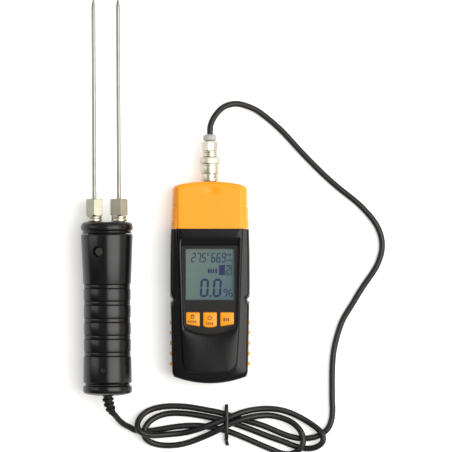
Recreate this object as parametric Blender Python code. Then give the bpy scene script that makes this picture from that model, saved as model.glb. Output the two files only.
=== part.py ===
"""Two-pin grain moisture meter: hand unit, bayonet plug, cable and probe, lying as set out on a table.

Metres, +Z up. The origin is on the hand unit's flat back, at the middle of its length and width.
+Y runs towards the unit's plug end and the probe's pin tips. The probe lies to the left, at -X.
"""
from math import atan2, ceil, cos, pi, radians, sin

import bmesh
import bpy
from mathutils import Vector

# Clearances
GAP = 0.0003                    # between faces that touch on the real object
KEY_GAP = 0.0004                # round a key cap in its hole

# Hand unit
CASE_WIDTH = 0.062
CASE_LENGTH = 0.1564            # with the yellow cap
CASE_DEPTH = 0.027
CASE_WALL = 0.0022
CAP_LENGTH = 0.0364
CAP_WALL = 0.0022
CAP_INSET = 0.0008              # the cap's rim is this much narrower than the shells, each side
CAP_FLARE = 0.0014              # and its far end this much narrower again
SEAM_HEIGHT = 0.0132            # where the front and back shells meet
NECK_LENGTH = 0.0240            # part of the shells that the cap covers
FRONT_WALL = 0.0045
BODY_END = 0.0095               # solid lower end of the shells
NOTCH_FROM_END = 0.0650
NOTCH_DEPTH = 0.0020

# Front panel, display and keys
PANEL_THICKNESS = 0.0013
RECESS_DEPTH = 0.0024
PANEL_TOP = 0.0345              # places along Y, from the middle of the unit
PANEL_BOTTOM = -0.0409
WINDOW_WIDTH = 0.0373
WINDOW_HEIGHT = 0.0394
WINDOW_CENTRE = 0.0064
LENS_THICKNESS = 0.0010
LCD_THICKNESS = 0.0027
BOARD_THICKNESS = 0.0016
BOARD_HEIGHT = 0.0150
KEY_WIDTH = 0.0106
KEY_PITCH = 0.0132
KEY_TOP = -0.0229
KEY_BOTTOM = -0.0320
KEY_SLOPE = 0.0018              # how much lower a key's inner corner is
KEY_TRAVEL = 0.0008
KEY_PROUD = 0.0009
SWITCH_HEIGHT = 0.0029

# Side grips
NUB_COUNT = 5
NUB_PITCH = 0.0080
NUB_LENGTH = 0.0027
NUB_HEIGHT = 0.0060
NUB_PROUD = 0.0013
NUB_FIRST = -0.0308
GRIP_THICKNESS = 0.0014

# Batteries (AAA)
CELL_DIAMETER = 0.0105
CELL_LENGTH = 0.0445
CELL_COUNT = 4
CELL_GAP = 0.0004
CONTACT_ROOM = 0.0026
TRAY_WALL = 0.0011
DOOR_THICKNESS = 0.0018
DOOR_INSET = 0.0004             # the door lies this far inside the flat back

# Bayonet connector
PLUG_HEIGHT = 0.0137            # axis above the back
JACK_RADIUS = 0.0048
JACK_BORE = JACK_RADIUS - 0.00075
JACK_FLANGE = JACK_RADIUS + 0.0018
JACK_REACH = 0.0097             # past the end of the cap
LUG_RADIUS = 0.0010
LUG_TIP = JACK_RADIUS + 0.00095
LUG_ANGLE = radians(27)         # from +Z towards +X
LUG_FROM_CAP = 0.0043
LUG_FIT = 0.0002                # round a lug in its channel
SLEEVE_FIT = 0.00025            # between the socket's barrel and the sleeve
SLEEVE_BORE = JACK_RADIUS + SLEEVE_FIT
SLEEVE_NECK = SLEEVE_BORE - 0.0003
SLEEVE_CHAMBER = SLEEVE_BORE + 0.00085
SLEEVE_RADIUS = SLEEVE_BORE + 0.00155
SLEEVE_LENGTH = 0.0188
INSULATOR_RADIUS = 0.0026
INSULATOR_BORE = 0.00125
CLAMP_ACROSS_CORNERS = 0.0124
CLAMP_LENGTH = 0.0071
CONE_LENGTH = 0.0052
CONE_FLARE = 0.0006             # how much its bore opens towards the lead

# Cable
CABLE_DIAMETER = 0.0047
CABLE_BORE = CABLE_DIAMETER / 2 + 0.0004
HANK_HEIGHT = 0.0138
TIE_THICKNESS = 0.0012
TIE_WIDTH = 0.0030

# Probe
PROBE_X = -0.0796
PROBE_LEAN = radians(0.3)       # the probe lies almost square to the unit
HANDLE_RADIUS = 0.02025
HANDLE_TOP = 0.0471
HANDLE_END = -0.0872
HANDLE_HEAD = 0.0095            # length of the head piece that shows
HANDLE_WAIST = 0.0020           # how much slimmer the grooved part is
HANDLE_BORE = 0.0150
HANDLE_GROOVE = 0.0008
PIN_PITCH = 0.0190
PIN_RADIUS = 0.0016
PIN_TIP = 0.2200
PIN_CONE = 0.0065
NUT_ACROSS_CORNERS = 0.0143
NUT_HEIGHT = 0.0130
COLLAR_RADIUS = 0.00605
COLLAR_PROUD = 0.0047           # of the handle's top
COLLAR_SHANK = 0.0045           # radius of the part of a collar that is sunk in the handle's top
WIRE_LUG_SHARE = 0.42           # of the room between a pin and the handle's bore
BOOT_RADIUS = 0.0046

CAP_TOP = CASE_LENGTH / 2
CASE_BOTTOM = -CASE_LENGTH / 2
CAP_SEAM = CAP_TOP - CAP_LENGTH
HALF = CASE_WIDTH / 2


def clear_scene():
    for item in list(bpy.data.objects):
        bpy.data.objects.remove(item, do_unlink=True)


def finish_material(name, colour, roughness, metallic=0.0):
    """One Principled material for each finish, shared by the pieces that have it."""
    found = bpy.data.materials.get(name)
    if found:
        return found
    made = bpy.data.materials.new(name)
    made.use_nodes = True
    shader = made.node_tree.nodes["Principled BSDF"]
    shader.inputs["Base Color"].default_value = (*colour, 1.0)
    shader.inputs["Roughness"].default_value = roughness
    shader.inputs["Metallic"].default_value = metallic
    return made


def yellow_plastic():
    return finish_material("yellow_plastic", (0.95, 0.48, 0.05), 0.35)


def black_plastic():
    return finish_material("black_plastic", (0.02, 0.02, 0.022), 0.38)


def grey_plastic():
    return finish_material("grey_plastic", (0.06, 0.065, 0.07), 0.45)


def nickel():
    return finish_material("nickel", (0.72, 0.69, 0.64), 0.25, 1.0)


def steel():
    return finish_material("steel", (0.62, 0.61, 0.59), 0.30, 1.0)


def white_insulator():
    return finish_material("white_insulator", (0.85, 0.85, 0.82), 0.5)


def cable_rubber():
    return finish_material("cable_rubber", (0.015, 0.015, 0.016), 0.45)


def shade(thing):
    for face in thing.data.polygons:
        face.use_smooth = True
    thing.data.set_sharp_from_angle(angle=radians(32))


def add_object(name, bm, material=None, origin=(0, 0, 0), parent=None):
    """Link a bmesh as an object; its points are given relative to origin."""
    bmesh.ops.recalc_face_normals(bm, faces=bm.faces)
    mesh = bpy.data.meshes.new(name)
    bm.to_mesh(mesh)
    bm.free()
    thing = bpy.data.objects.new(name, mesh)
    thing.location = origin
    bpy.context.scene.collection.objects.link(thing)
    if parent:
        thing.parent = parent
    if material:
        mesh.materials.append(material)
        shade(thing)
    return thing


def add_empty(name, origin, turn=0.0):
    empty = bpy.data.objects.new(name, None)
    empty.location = origin
    empty.rotation_euler = (0, 0, turn)
    bpy.context.scene.collection.objects.link(empty)
    return empty


def ring_faces(bm, first, second):
    """Quads, or triangles at a pole, between two rings of corners."""
    count = max(len(first), len(second))
    for index in range(count):
        following = (index + 1) % count
        corners = [first[index % len(first)], first[following % len(first)],
                   second[following % len(second)], second[index % len(second)]]
        unique = list(dict.fromkeys(corners))
        bm.faces.new(unique)


def turned(name, profile, material=None, sides=24, axis="Y", origin=(0, 0, 0), parent=None, phase=0.0,
           closed=False):
    """Turn a profile of (radius, place along the axis). A closed one is a ring; else it ends on the axis."""
    bm = bmesh.new()
    rings = []
    for radius, place in profile:
        ring = []
        for step in range(sides if radius > 0 else 1):
            angle = phase + 2 * pi * step / sides
            across, up = radius * sin(angle), radius * cos(angle)
            point = (across, place, up) if axis == "Y" else (across, up, place)
            ring.append(bm.verts.new(point))
        rings.append(ring)
    for first, second in zip(rings, rings[1:]):
        ring_faces(bm, first, second)
    if closed:
        ring_faces(bm, rings[-1], rings[0])
    return add_object(name, bm, material, origin, parent)


def lofted(name, sections, material=None, origin=(0, 0, 0), parent=None):
    """A solid through closed outlines that have the same number of corners."""
    bm = bmesh.new()
    rings = [[bm.verts.new(point) for point in section] for section in sections]
    for first, second in zip(rings, rings[1:]):
        ring_faces(bm, first, second)
    bm.faces.new(rings[0])
    bm.faces.new(rings[-1])
    return add_object(name, bm, material, origin, parent)


def prism(name, outline, low, high, material=None, origin=(0, 0, 0), parent=None):
    """Extrude a flat outline of (x, y) from height low to height high."""
    sections = [[(x, y, height) for x, y in outline] for height in (low, high)]
    return lofted(name, sections, material, origin, parent)


def block(name, low, high, material=None, origin=(0, 0, 0), parent=None):
    outline = [(low[0], low[1]), (high[0], low[1]), (high[0], high[1]), (low[0], high[1])]
    return prism(name, outline, low[2], high[2], material, origin, parent)


def rounded(width, height, radius, centre=(0, 0), steps=3):
    """A rectangle of (x, y) with round corners."""
    points = []
    for corner, (side, end) in enumerate(((1, 1), (-1, 1), (-1, -1), (1, -1))):
        middle = (centre[0] + side * (width / 2 - radius), centre[1] + end * (height / 2 - radius))
        for step in range(steps + 1):
            angle = pi / 2 * (corner + step / steps)
            points.append((middle[0] + radius * cos(angle), middle[1] + radius * sin(angle)))
    return points


def modify(target, tool, operation):
    tool.hide_render = True
    tool.display_type = "WIRE"
    change = target.modifiers.new(tool.name, "BOOLEAN")
    change.operation = operation
    change.solver = "EXACT"
    change.object = tool


def cut(target, *tools):
    for tool in tools:
        modify(target, tool, "DIFFERENCE")


def join(target, *tools):
    for tool in tools:
        modify(target, tool, "UNION")


def mirrored(points):
    """Close a right-hand side, given from top to bottom, with its mirror image."""
    return points + [(-x, y) for x, y in reversed(points) if x > 1e-7]


def bottom_arc(half, end, rise, steps=7):
    """Right half of the arched lower end: a circle's arc through the corner and the middle."""
    radius = (half * half + rise * rise) / (2 * rise)
    widest = atan2(half, radius - rise)
    arc = []
    for step in range(steps + 1):
        angle = widest * (1 - step / steps)
        arc.append((radius * sin(angle), end + radius - radius * cos(angle)))
    return arc


# ---------------------------------------------------------------- hand unit: shells
def edge_levels():
    """How far the sides stand in at each height: nearly upright sides with rounded edges."""
    return [(0.0032, 0), (0.0010, 0.0015), (0.0002, 0.0044), (0, SEAM_HEIGHT), (0.0002, SEAM_HEIGHT + 0.0055),
            (0.0014, CASE_DEPTH - 0.0041), (0.0037, CASE_DEPTH - 0.0017), (0.0062, CASE_DEPTH)]


def inset_at(height):
    levels = edge_levels()
    for (inset, low), (following, high) in zip(levels, levels[1:]):
        if height <= high:
            return inset + (following - inset) * (height - low) / (high - low)
    return levels[-1][0]


def neck_half():
    return HALF - CAP_INSET - CAP_FLARE - CAP_WALL - GAP


def case_outline(inset):
    """Front view of the shells, neck included; inset moves the sides and the lower end inwards."""
    half = HALF - inset
    end = CASE_BOTTOM + inset
    notch = CASE_BOTTOM + NOTCH_FROM_END
    neck = neck_half() - inset
    side = [
        (neck, CAP_SEAM + NECK_LENGTH), (neck, CAP_SEAM - GAP),
        (half - 0.0006, CAP_SEAM - GAP), (half, CAP_SEAM - 0.035), (half, notch + 0.006),
        (half - 0.0002, notch + 0.0025), (half - NOTCH_DEPTH, notch),
        (half - 0.0003, notch - 0.0025), (half - 0.0009, notch - 0.035),
        (half - 0.0018, end + 0.0105),
    ]
    return mirrored(side + bottom_arc(half - 0.0028, end, 0.0054))


def make_shells():
    """The front and back shells: lofts with rounded edges, hollowed by one cavity."""
    levels = edge_levels()
    middle = SEAM_HEIGHT - GAP
    halves = {"front_case": [level for level in levels if level[1] >= SEAM_HEIGHT],
              "back_case": [level for level in levels if level[1] < middle] + [(0, middle)]}
    shells = {}
    for name, chosen in halves.items():
        sections = [[(x, y, height) for x, y in case_outline(inset)] for inset, height in chosen]
        shells[name] = lofted(name, sections, black_plastic())
    front, back = shells["front_case"], shells["back_case"]
    cavity_length = CAP_SEAM - 0.0008 - CASE_BOTTOM - BODY_END
    cavity = rounded(CASE_WIDTH - 2 * CASE_WALL - 0.0026, cavity_length, 0.003,
                     (0, CASE_BOTTOM + BODY_END + cavity_length / 2))
    cut(front, prism("front_cavity", cavity, 0, CASE_DEPTH - FRONT_WALL))
    cut(back, prism("back_cavity", cavity, DOOR_INSET + DOOR_THICKNESS + GAP + TRAY_WALL, CASE_DEPTH))
    over = HALF * 1.5
    step = CAP_SEAM - GAP - 0.0002
    cut(front, block("neck_front", (-over, step, CASE_DEPTH - CAP_WALL - GAP),
                     (over, CAP_TOP, CASE_DEPTH * 1.2)))
    cut(back, block("neck_back", (-over, step, -CASE_DEPTH * 0.2),
                    (over, CAP_TOP, CAP_WALL + GAP)))
    lead = [(0, CAP_SEAM - 0.004), (0.0022, CAP_SEAM - 0.004), (0.0022, CAP_TOP), (0, CAP_TOP)]
    cut(front, turned("lead_bore_front", lead, sides=12, origin=(0, 0, PLUG_HEIGHT)))
    cut(back, turned("lead_bore_back", lead, sides=12, origin=(0, 0, PLUG_HEIGHT)))
    return front, back


def screw_places():
    across = HALF - 0.0110
    return [(side * across, end) for side in (-1, 1)
            for end in (CAP_SEAM + NECK_LENGTH - 0.0060, CASE_BOTTOM + 0.0064)]


def make_screws(front, back):
    """Four case screws from the back, in counterbores."""
    head, shank, reach = 0.0020, 0.0011, CASE_DEPTH - 0.0070
    seat = CAP_WALL + GAP + 0.0030
    top = seat - 0.0016
    profile = [(0, top), (head, top), (head, seat), (shank, seat), (shank, reach), (0, reach)]
    bore = [(0, -0.002), (head + GAP, -0.002), (head + GAP, seat + GAP), (shank + GAP, seat + GAP),
            (shank + GAP, reach + GAP), (0, reach + GAP)]
    for index, (x, y) in enumerate(screw_places()):
        turned(f"case_screw_{index + 1}", profile, steel(), 10, axis="Z", origin=(x, y, 0))
        cut(back, turned(f"screw_bore_back_{index}", bore, sides=10, axis="Z", origin=(x, y, 0)))
        cut(front, turned(f"screw_bore_front_{index}", bore, sides=10, axis="Z", origin=(x, y, 0)))


def cap_half(place):
    """Half the cap's width at a place along its length."""
    return HALF - CAP_INSET - CAP_FLARE * min(1.0, (place - CAP_SEAM) / (CAP_LENGTH - 0.006))


def cap_outline(inset):
    """Front view of the yellow cap: flared sides with two grip steps, and an arched end."""
    end = CAP_TOP - inset
    side = [(cap_half(CAP_SEAM) - inset, CAP_SEAM)]
    for place in (CAP_SEAM + 0.0080, CAP_SEAM + 0.0170):
        half = cap_half(place) - inset
        side += [(half + 0.0002, place - 0.0005), (half - 0.0003, place)]
    corner = (cap_half(CAP_TOP) - inset - 0.0026, end - 0.0068)
    for step in range(5):
        angle = pi / 2 * step / 4 * 0.93
        side.append((corner[0] + 0.0026 * cos(angle), corner[1] + 0.0037 * sin(angle)))
    arch = [(x, 2 * end - y) for x, y in bottom_arc(corner[0] + 0.0006, end, 0.0028, 6)]
    return mirrored(side + [(x, y) for x, y in arch if x < corner[0] - 0.0008])


def make_cap():
    """The yellow end cap: a closed-ended sleeve over the shells' neck, with the socket's hole."""
    sections = [[(x, y, height) for x, y in cap_outline(inset)] for inset, height in edge_levels()]
    cap = lofted("top_cap", sections, yellow_plastic())
    low, high = CAP_WALL, CASE_DEPTH - CAP_WALL
    heights = [low] + [height for _, height in edge_levels() if low < height < high] + [high]
    hollow = []
    past_neck = CAP_SEAM + NECK_LENGTH + GAP
    for place, share in ((CAP_SEAM - 0.002, 1.0), (past_neck, 1.0), (CAP_TOP - 0.0030, 0.7)):
        half = neck_half() + GAP - 0.006 * (1 - share)
        right = [(half - inset_at(height), place, PLUG_HEIGHT + (height - PLUG_HEIGHT) * share)
                 for height in heights]
        hollow.append(right + [(-x, y, z) for x, y, z in reversed(right)])
    cut(cap, lofted("cap_hollow", hollow))
    hole = [(0, CAP_TOP - 0.010), (JACK_RADIUS + GAP, CAP_TOP - 0.010), (JACK_RADIUS + GAP, CAP_TOP - 0.0011),
            (JACK_FLANGE + GAP, CAP_TOP - 0.0011), (JACK_FLANGE + GAP, CAP_TOP + 0.002), (0, CAP_TOP + 0.002)]
    cut(cap, turned("jack_hole", hole, sides=24, origin=(0, 0, PLUG_HEIGHT)))
    return cap


# ---------------------------------------------------------------- hand unit: panel, display, keys
def panel_outline(grow=0.0):
    """The shield-shaped panel: slightly tapered sides and an arched lower end."""
    half_top, half_low = 0.0226 + grow, 0.0212 + grow
    side = [(half_top - 0.0006, PANEL_TOP - 0.0050 + grow), (half_top, PANEL_TOP - 0.0056 + grow),
            (half_low, PANEL_BOTTOM + 0.0080)]
    return mirrored(side + bottom_arc(half_low - 0.0014, PANEL_BOTTOM - grow, 0.0049, 6))


def key_outline(column, grow=0.0):
    """One key: square top, with its lower edge sloping down towards the middle key."""
    half = KEY_WIDTH / 2 + grow
    top, low = KEY_TOP + grow, KEY_BOTTOM - grow
    if column == 0:
        deep = low - KEY_SLOPE
        return [(-half, top), (half, top), (half, deep), (half * 0.5, deep - 0.0010),
                (-half * 0.5, deep - 0.0010), (-half, deep)]
    inner = -column * half
    return [(-inner, top), (inner, top), (inner, low - KEY_SLOPE), (-inner, low)]


def panel_height():
    return CASE_DEPTH - RECESS_DEPTH + GAP


def make_front_panel(front):
    """The recess in the front shell, the panel in it, and the window and key holes through both."""
    floor = CASE_DEPTH - RECESS_DEPTH
    cut(front, prism("panel_recess", panel_outline(0.0006), floor, CASE_DEPTH * 1.2))
    panel = prism("front_panel", panel_outline(), panel_height(), panel_height() + PANEL_THICKNESS,
                  grey_plastic())
    window = rounded(WINDOW_WIDTH + 2 * GAP, WINDOW_HEIGHT + 2 * GAP, 0.0016, (0, WINDOW_CENTRE))
    for target, label in ((front, "front"), (panel, "panel")):
        cut(target, prism(f"window_{label}", window, CASE_DEPTH * 0.5, CASE_DEPTH * 1.2))
        for column in (-1, 0, 1):
            hole = [(x + column * KEY_PITCH, y) for x, y in key_outline(column, KEY_GAP)]
            cut(target, prism(f"key_hole_{label}_{column}", hole, CASE_DEPTH * 0.5, CASE_DEPTH * 1.2))


def make_display():
    """Window lens, liquid-crystal panel, light guide and contact strip, stacked over the board."""
    lens_top = panel_height() + PANEL_THICKNESS
    lens = rounded(WINDOW_WIDTH, WINDOW_HEIGHT, 0.0013, (0, WINDOW_CENTRE))
    prism("display_lens", lens, lens_top - LENS_THICKNESS, lens_top,
          finish_material("clear_lens", (0.75, 0.8, 0.8), 0.06))
    ceiling = CASE_DEPTH - FRONT_WALL - GAP
    wide, tall = WINDOW_WIDTH + 0.0060, WINDOW_HEIGHT + 0.0040
    low, high = WINDOW_CENTRE - tall / 2, WINDOW_CENTRE + tall / 2
    lcd_base = ceiling - LCD_THICKNESS
    board_top = BOARD_HEIGHT + BOARD_THICKNESS
    block("lcd_panel", (-wide / 2, low, lcd_base), (wide / 2, high, ceiling),
          finish_material("lcd_glass", (0.30, 0.42, 0.40), 0.12))
    strip = 0.0022
    guide = finish_material("light_guide", (0.80, 0.88, 0.90), 0.3)
    block("backlight", (-wide / 2, low + strip + GAP, board_top + GAP),
          (wide / 2, high, lcd_base - GAP), guide)
    rubber = finish_material("contact_rubber", (0.10, 0.10, 0.11), 0.6)
    block("lcd_contact_strip", (-wide / 2, low, board_top + GAP),
          (wide / 2, low + strip, lcd_base - GAP), rubber)


def make_board():
    """The circuit board, with its three key switches and the processor soldered on, and the air sensor."""
    half = HALF - CASE_WALL - 0.0026
    low, high = CASE_BOTTOM + BODY_END + 0.0014, CAP_SEAM - 0.0022
    top, sunk = BOARD_HEIGHT + BOARD_THICKNESS, 0.0004
    board = block("main_board", (-half, low, BOARD_HEIGHT), (half, high, top),
                  finish_material("board_green", (0.03, 0.20, 0.09), 0.4))
    row = (KEY_TOP + KEY_BOTTOM) / 2
    dome = [(0, -sunk), (0.0026, -sunk), (0.0026, SWITCH_HEIGHT - 0.0008), (0.0014, SWITCH_HEIGHT),
            (0, SWITCH_HEIGHT)]
    for column in (-1, 0, 1):
        at = (column * KEY_PITCH, row, top)
        join(board, turned(f"switch_{column}", dome, sides=10, axis="Z", origin=at))
    clear_of_tray = CASE_BOTTOM + BODY_END + 0.0030 + tray_length() + 0.0040
    join(board, block("processor", (-0.0050, clear_of_tray, BOARD_HEIGHT - 0.0014),
                      (0.0050, clear_of_tray + 0.0100, BOARD_HEIGHT + sunk)))
    under = BOARD_HEIGHT - GAP
    block("air_sensor", (0.0150, clear_of_tray, under - 0.0011), (0.0190, clear_of_tray + 0.0040, under),
          white_insulator())


def make_keys():
    """Three key caps, each with a flange that keeps it in the shell. They press down."""
    cap_top = panel_height() + PANEL_THICKNESS + KEY_PROUD
    base = BOARD_HEIGHT + BOARD_THICKNESS + SWITCH_HEIGHT + KEY_TRAVEL + GAP
    flange = CASE_DEPTH - FRONT_WALL - GAP
    for column, name in ((-1, "key_enter"), (0, "key_hold"), (1, "key_set")):
        sections = []
        for grow, height in ((0.0007, base), (0.0007, flange), (0, flange), (0, cap_top - 0.0005),
                             (-0.0004, cap_top)):
            sections.append([(x, y - KEY_TOP, height) for x, y in key_outline(column, grow)])
        lofted(name, sections, yellow_plastic(), origin=(column * KEY_PITCH, KEY_TOP, 0))


def make_side_grips(front):
    """A strip inside each long side, whose five nubs stand out through slots in the front shell."""
    inner = HALF - CASE_WALL - 0.0013
    low = SEAM_HEIGHT + 0.0012
    strip_end = NUB_FIRST - NUB_PITCH * (NUB_COUNT - 1)
    cavity_end = CASE_BOTTOM + BODY_END + 0.0010
    for side, name in ((-1, "side_grip_left"), (1, "side_grip_right")):
        faces = sorted((side * (inner - GRIP_THICKNESS - GAP), side * (inner - GAP)))
        grip = block(name, (faces[0], max(strip_end - 0.0024, cavity_end), low + 0.0022),
                     (faces[1], NUB_FIRST + 0.0030, low + 0.0068), yellow_plastic())
        for index in range(NUB_COUNT):
            place = NUB_FIRST - index * NUB_PITCH
            reach = HALF - 0.0011 + NUB_PROUD
            ends = sorted((side * (inner - GAP - 0.0006), side * reach))
            join(grip, block(f"nub_{name}_{index}", (ends[0], place - NUB_LENGTH / 2, low + 0.0004),
                             (ends[1], place + NUB_LENGTH / 2, low + 0.0004 + NUB_HEIGHT)))
            ends = sorted((side * (inner - 0.002), side * (HALF + 0.002)))
            cut(front, block(f"slot_{name}_{index}", (ends[0], place - NUB_LENGTH / 2 - GAP, low + 0.0001),
                             (ends[1], place + NUB_LENGTH / 2 + GAP, low + 0.0007 + NUB_HEIGHT)))


# ---------------------------------------------------------------- hand unit: batteries
def tray_length():
    return CELL_LENGTH + CONTACT_ROOM + 2 * TRAY_WALL + 0.0010


def tray_width():
    return CELL_COUNT * CELL_DIAMETER + (CELL_COUNT + 1) * CELL_GAP + 2 * TRAY_WALL


def make_battery_bay(back):
    """Tray, cells, contacts and the sliding door, which takes the lower end of the back with it."""
    low_end = CASE_BOTTOM + BODY_END + 0.0030
    base = DOOR_INSET + DOOR_THICKNESS + GAP
    length, width = tray_length(), tray_width()
    tray_top = base + CELL_DIAMETER + TRAY_WALL + 0.0004
    tray = block("battery_tray", (-width / 2, low_end, base), (width / 2, low_end + length, tray_top),
                 black_plastic())
    cut(tray, block("tray_hollow", (-width / 2 + TRAY_WALL, low_end + TRAY_WALL, base - 0.001),
                    (width / 2 - TRAY_WALL, low_end + length - TRAY_WALL, tray_top - TRAY_WALL)))
    cut(back, block("tray_opening", (-width / 2 - GAP, low_end - GAP, -0.001),
                    (width / 2 + GAP, low_end + length + GAP, SEAM_HEIGHT + 0.001)))
    middle = low_end + TRAY_WALL + CONTACT_ROOM / 2 + 0.0005 + CELL_LENGTH / 2
    cell = CELL_DIAMETER / 2
    half = CELL_LENGTH / 2
    colours = finish_material("cell_wrap", (0.05, 0.16, 0.30), 0.35)
    for index in range(CELL_COUNT):
        x = (index - (CELL_COUNT - 1) / 2) * (CELL_DIAMETER + CELL_GAP)
        way = 1 if index % 2 == 0 else -1
        profile = [(0, way * half), (0.0019, way * half), (0.0019, way * (half - 0.0009)),
                   (cell - 0.0004, way * (half - 0.0009)), (cell, way * (half - 0.0014)),
                   (cell, -way * (half - 0.0004)), (cell - 0.0004, -way * half), (0, -way * half)]
        turned(f"battery_{index + 1}", profile, colours, 16, origin=(x, middle, base + 0.0001 + cell))
    reach = (CELL_COUNT - 1) / 2 * (CELL_DIAMETER + CELL_GAP) + cell * 0.7
    for name, place in (("battery_contacts_lower", low_end + TRAY_WALL + GAP),
                        ("battery_contacts_upper", low_end + length - TRAY_WALL - GAP - 0.0004)):
        block(name, (-reach, place, base + cell * 0.4), (reach, place + 0.0004, base + cell * 1.6), nickel())

    door_half = width / 2 + 0.0014
    lip = 0.0008
    top = low_end + length + 0.0010
    end = bottom_arc(door_half, CASE_BOTTOM + 0.0040, 0.0040, 5)
    shape = mirrored([(door_half, top)] + end)
    wide = [(x + (lip if x > 0 else -lip) * (abs(x) > door_half * 0.98), y) for x, y in shape]
    sections = [[(x, y, DOOR_INSET) for x, y in shape],
                [(x, y, DOOR_INSET + DOOR_THICKNESS) for x, y in wide]]
    lofted("battery_door", [[(x, y - top, z) for x, y, z in ring] for ring in sections], black_plastic(),
           origin=(0, top, 0))
    opening = [(door_half + GAP, top + GAP), (door_half + GAP, CASE_BOTTOM - 0.002)]
    slope = lip / DOOR_THICKNESS
    rings = []
    for height in (-0.001, DOOR_INSET + DOOR_THICKNESS + GAP):
        extra = slope * (height - DOOR_INSET)
        rings.append([(side * (opening[0][0] + extra), y, height)
                      for side, y in ((1, opening[0][1]), (1, opening[1][1]), (-1, opening[1][1]),
                                      (-1, opening[0][1]))])
    cut(back, lofted("door_opening", rings))


# ---------------------------------------------------------------- bayonet socket and plug
def make_jack():
    """Socket on the cap: barrel with two bayonet lugs, ring nut, insulator, centre contact and lead."""
    at = (0, CAP_TOP, PLUG_HEIGHT)
    wall = 0.0030
    seat = INSULATOR_RADIUS + 0.0002
    barrel = [(JACK_RADIUS, JACK_REACH), (JACK_RADIUS, -wall - GAP), (JACK_FLANGE, -wall - GAP),
              (JACK_FLANGE, -wall - 0.0020), (JACK_RADIUS, -wall - 0.0020), (JACK_RADIUS, -0.0085),
              (seat, -0.0085), (seat, 0.0008), (JACK_BORE, 0.0008), (JACK_BORE, JACK_REACH)]
    jack = turned("probe_jack", barrel, nickel(), 24, origin=at, closed=True)
    root = JACK_RADIUS - 0.0004
    for index in range(2):
        post = [(0, root), (LUG_RADIUS, root), (LUG_RADIUS, LUG_TIP), (0, LUG_TIP)]
        lug = turned(f"lug_{index}", post, sides=10, axis="Z",
                     origin=(0, CAP_TOP + LUG_FROM_CAP, PLUG_HEIGHT))
        lug.rotation_euler = (0, LUG_ANGLE + index * pi, 0)
        join(jack, lug)
    rim = JACK_FLANGE - 0.0001
    ring = [(JACK_RADIUS + GAP, -0.0003), (rim, -0.0003), (rim, -0.0008), (JACK_RADIUS + GAP, -0.0008)]
    turned("jack_ring", ring, nickel(), 24, origin=at, closed=True)
    insulator = [(INSULATOR_RADIUS, 0.0005), (INSULATOR_RADIUS, -0.0082), (INSULATOR_BORE, -0.0082),
                 (INSULATOR_BORE, 0.0005)]
    turned("jack_insulator", insulator, white_insulator(), 16, origin=at, closed=True)
    contact = [(0, -0.0100), (0.00105, -0.0100), (0.00105, 0.0060), (0.00078, 0.0060), (0.00078, 0.0010),
               (0, 0.0010)]
    turned("jack_contact", contact, finish_material("gold", (0.85, 0.62, 0.25), 0.25, 1.0), 12, origin=at)
    start = CAP_SEAM - 0.0010
    lead = [(0, start - CAP_TOP), (0.0008, start - CAP_TOP), (0.0008, -0.0103), (0, -0.0103)]
    turned("jack_lead", lead, finish_material("lead_red", (0.55, 0.04, 0.03), 0.45), 8, origin=at)


def bayonet_channel(start_angle):
    """Cutter for one lug's path inside the sleeve: a quarter of a ring, square to the axis."""
    bm = bmesh.new()
    half = LUG_RADIUS + LUG_FIT
    inner, outer = SLEEVE_BORE - 0.0006, LUG_TIP + LUG_FIT
    steps = 12
    spread = half / SLEEVE_RADIUS
    turns = [start_angle - pi / 2 * step / steps for step in range(steps + 1)]
    rings = []
    for angle in [turns[0] + spread] + turns + [turns[-1] - spread]:
        ring = []
        for radius, shift in ((inner, -half), (outer, -half), (outer, half), (inner, half)):
            ring.append(bm.verts.new((radius * sin(angle), LUG_FROM_CAP + shift, radius * cos(angle))))
        rings.append(ring)
    for first, second in zip(rings, rings[1:]):
        ring_faces(bm, first, second)
    bm.faces.new(rings[0])
    bm.faces.new(rings[-1])
    return bm


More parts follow.
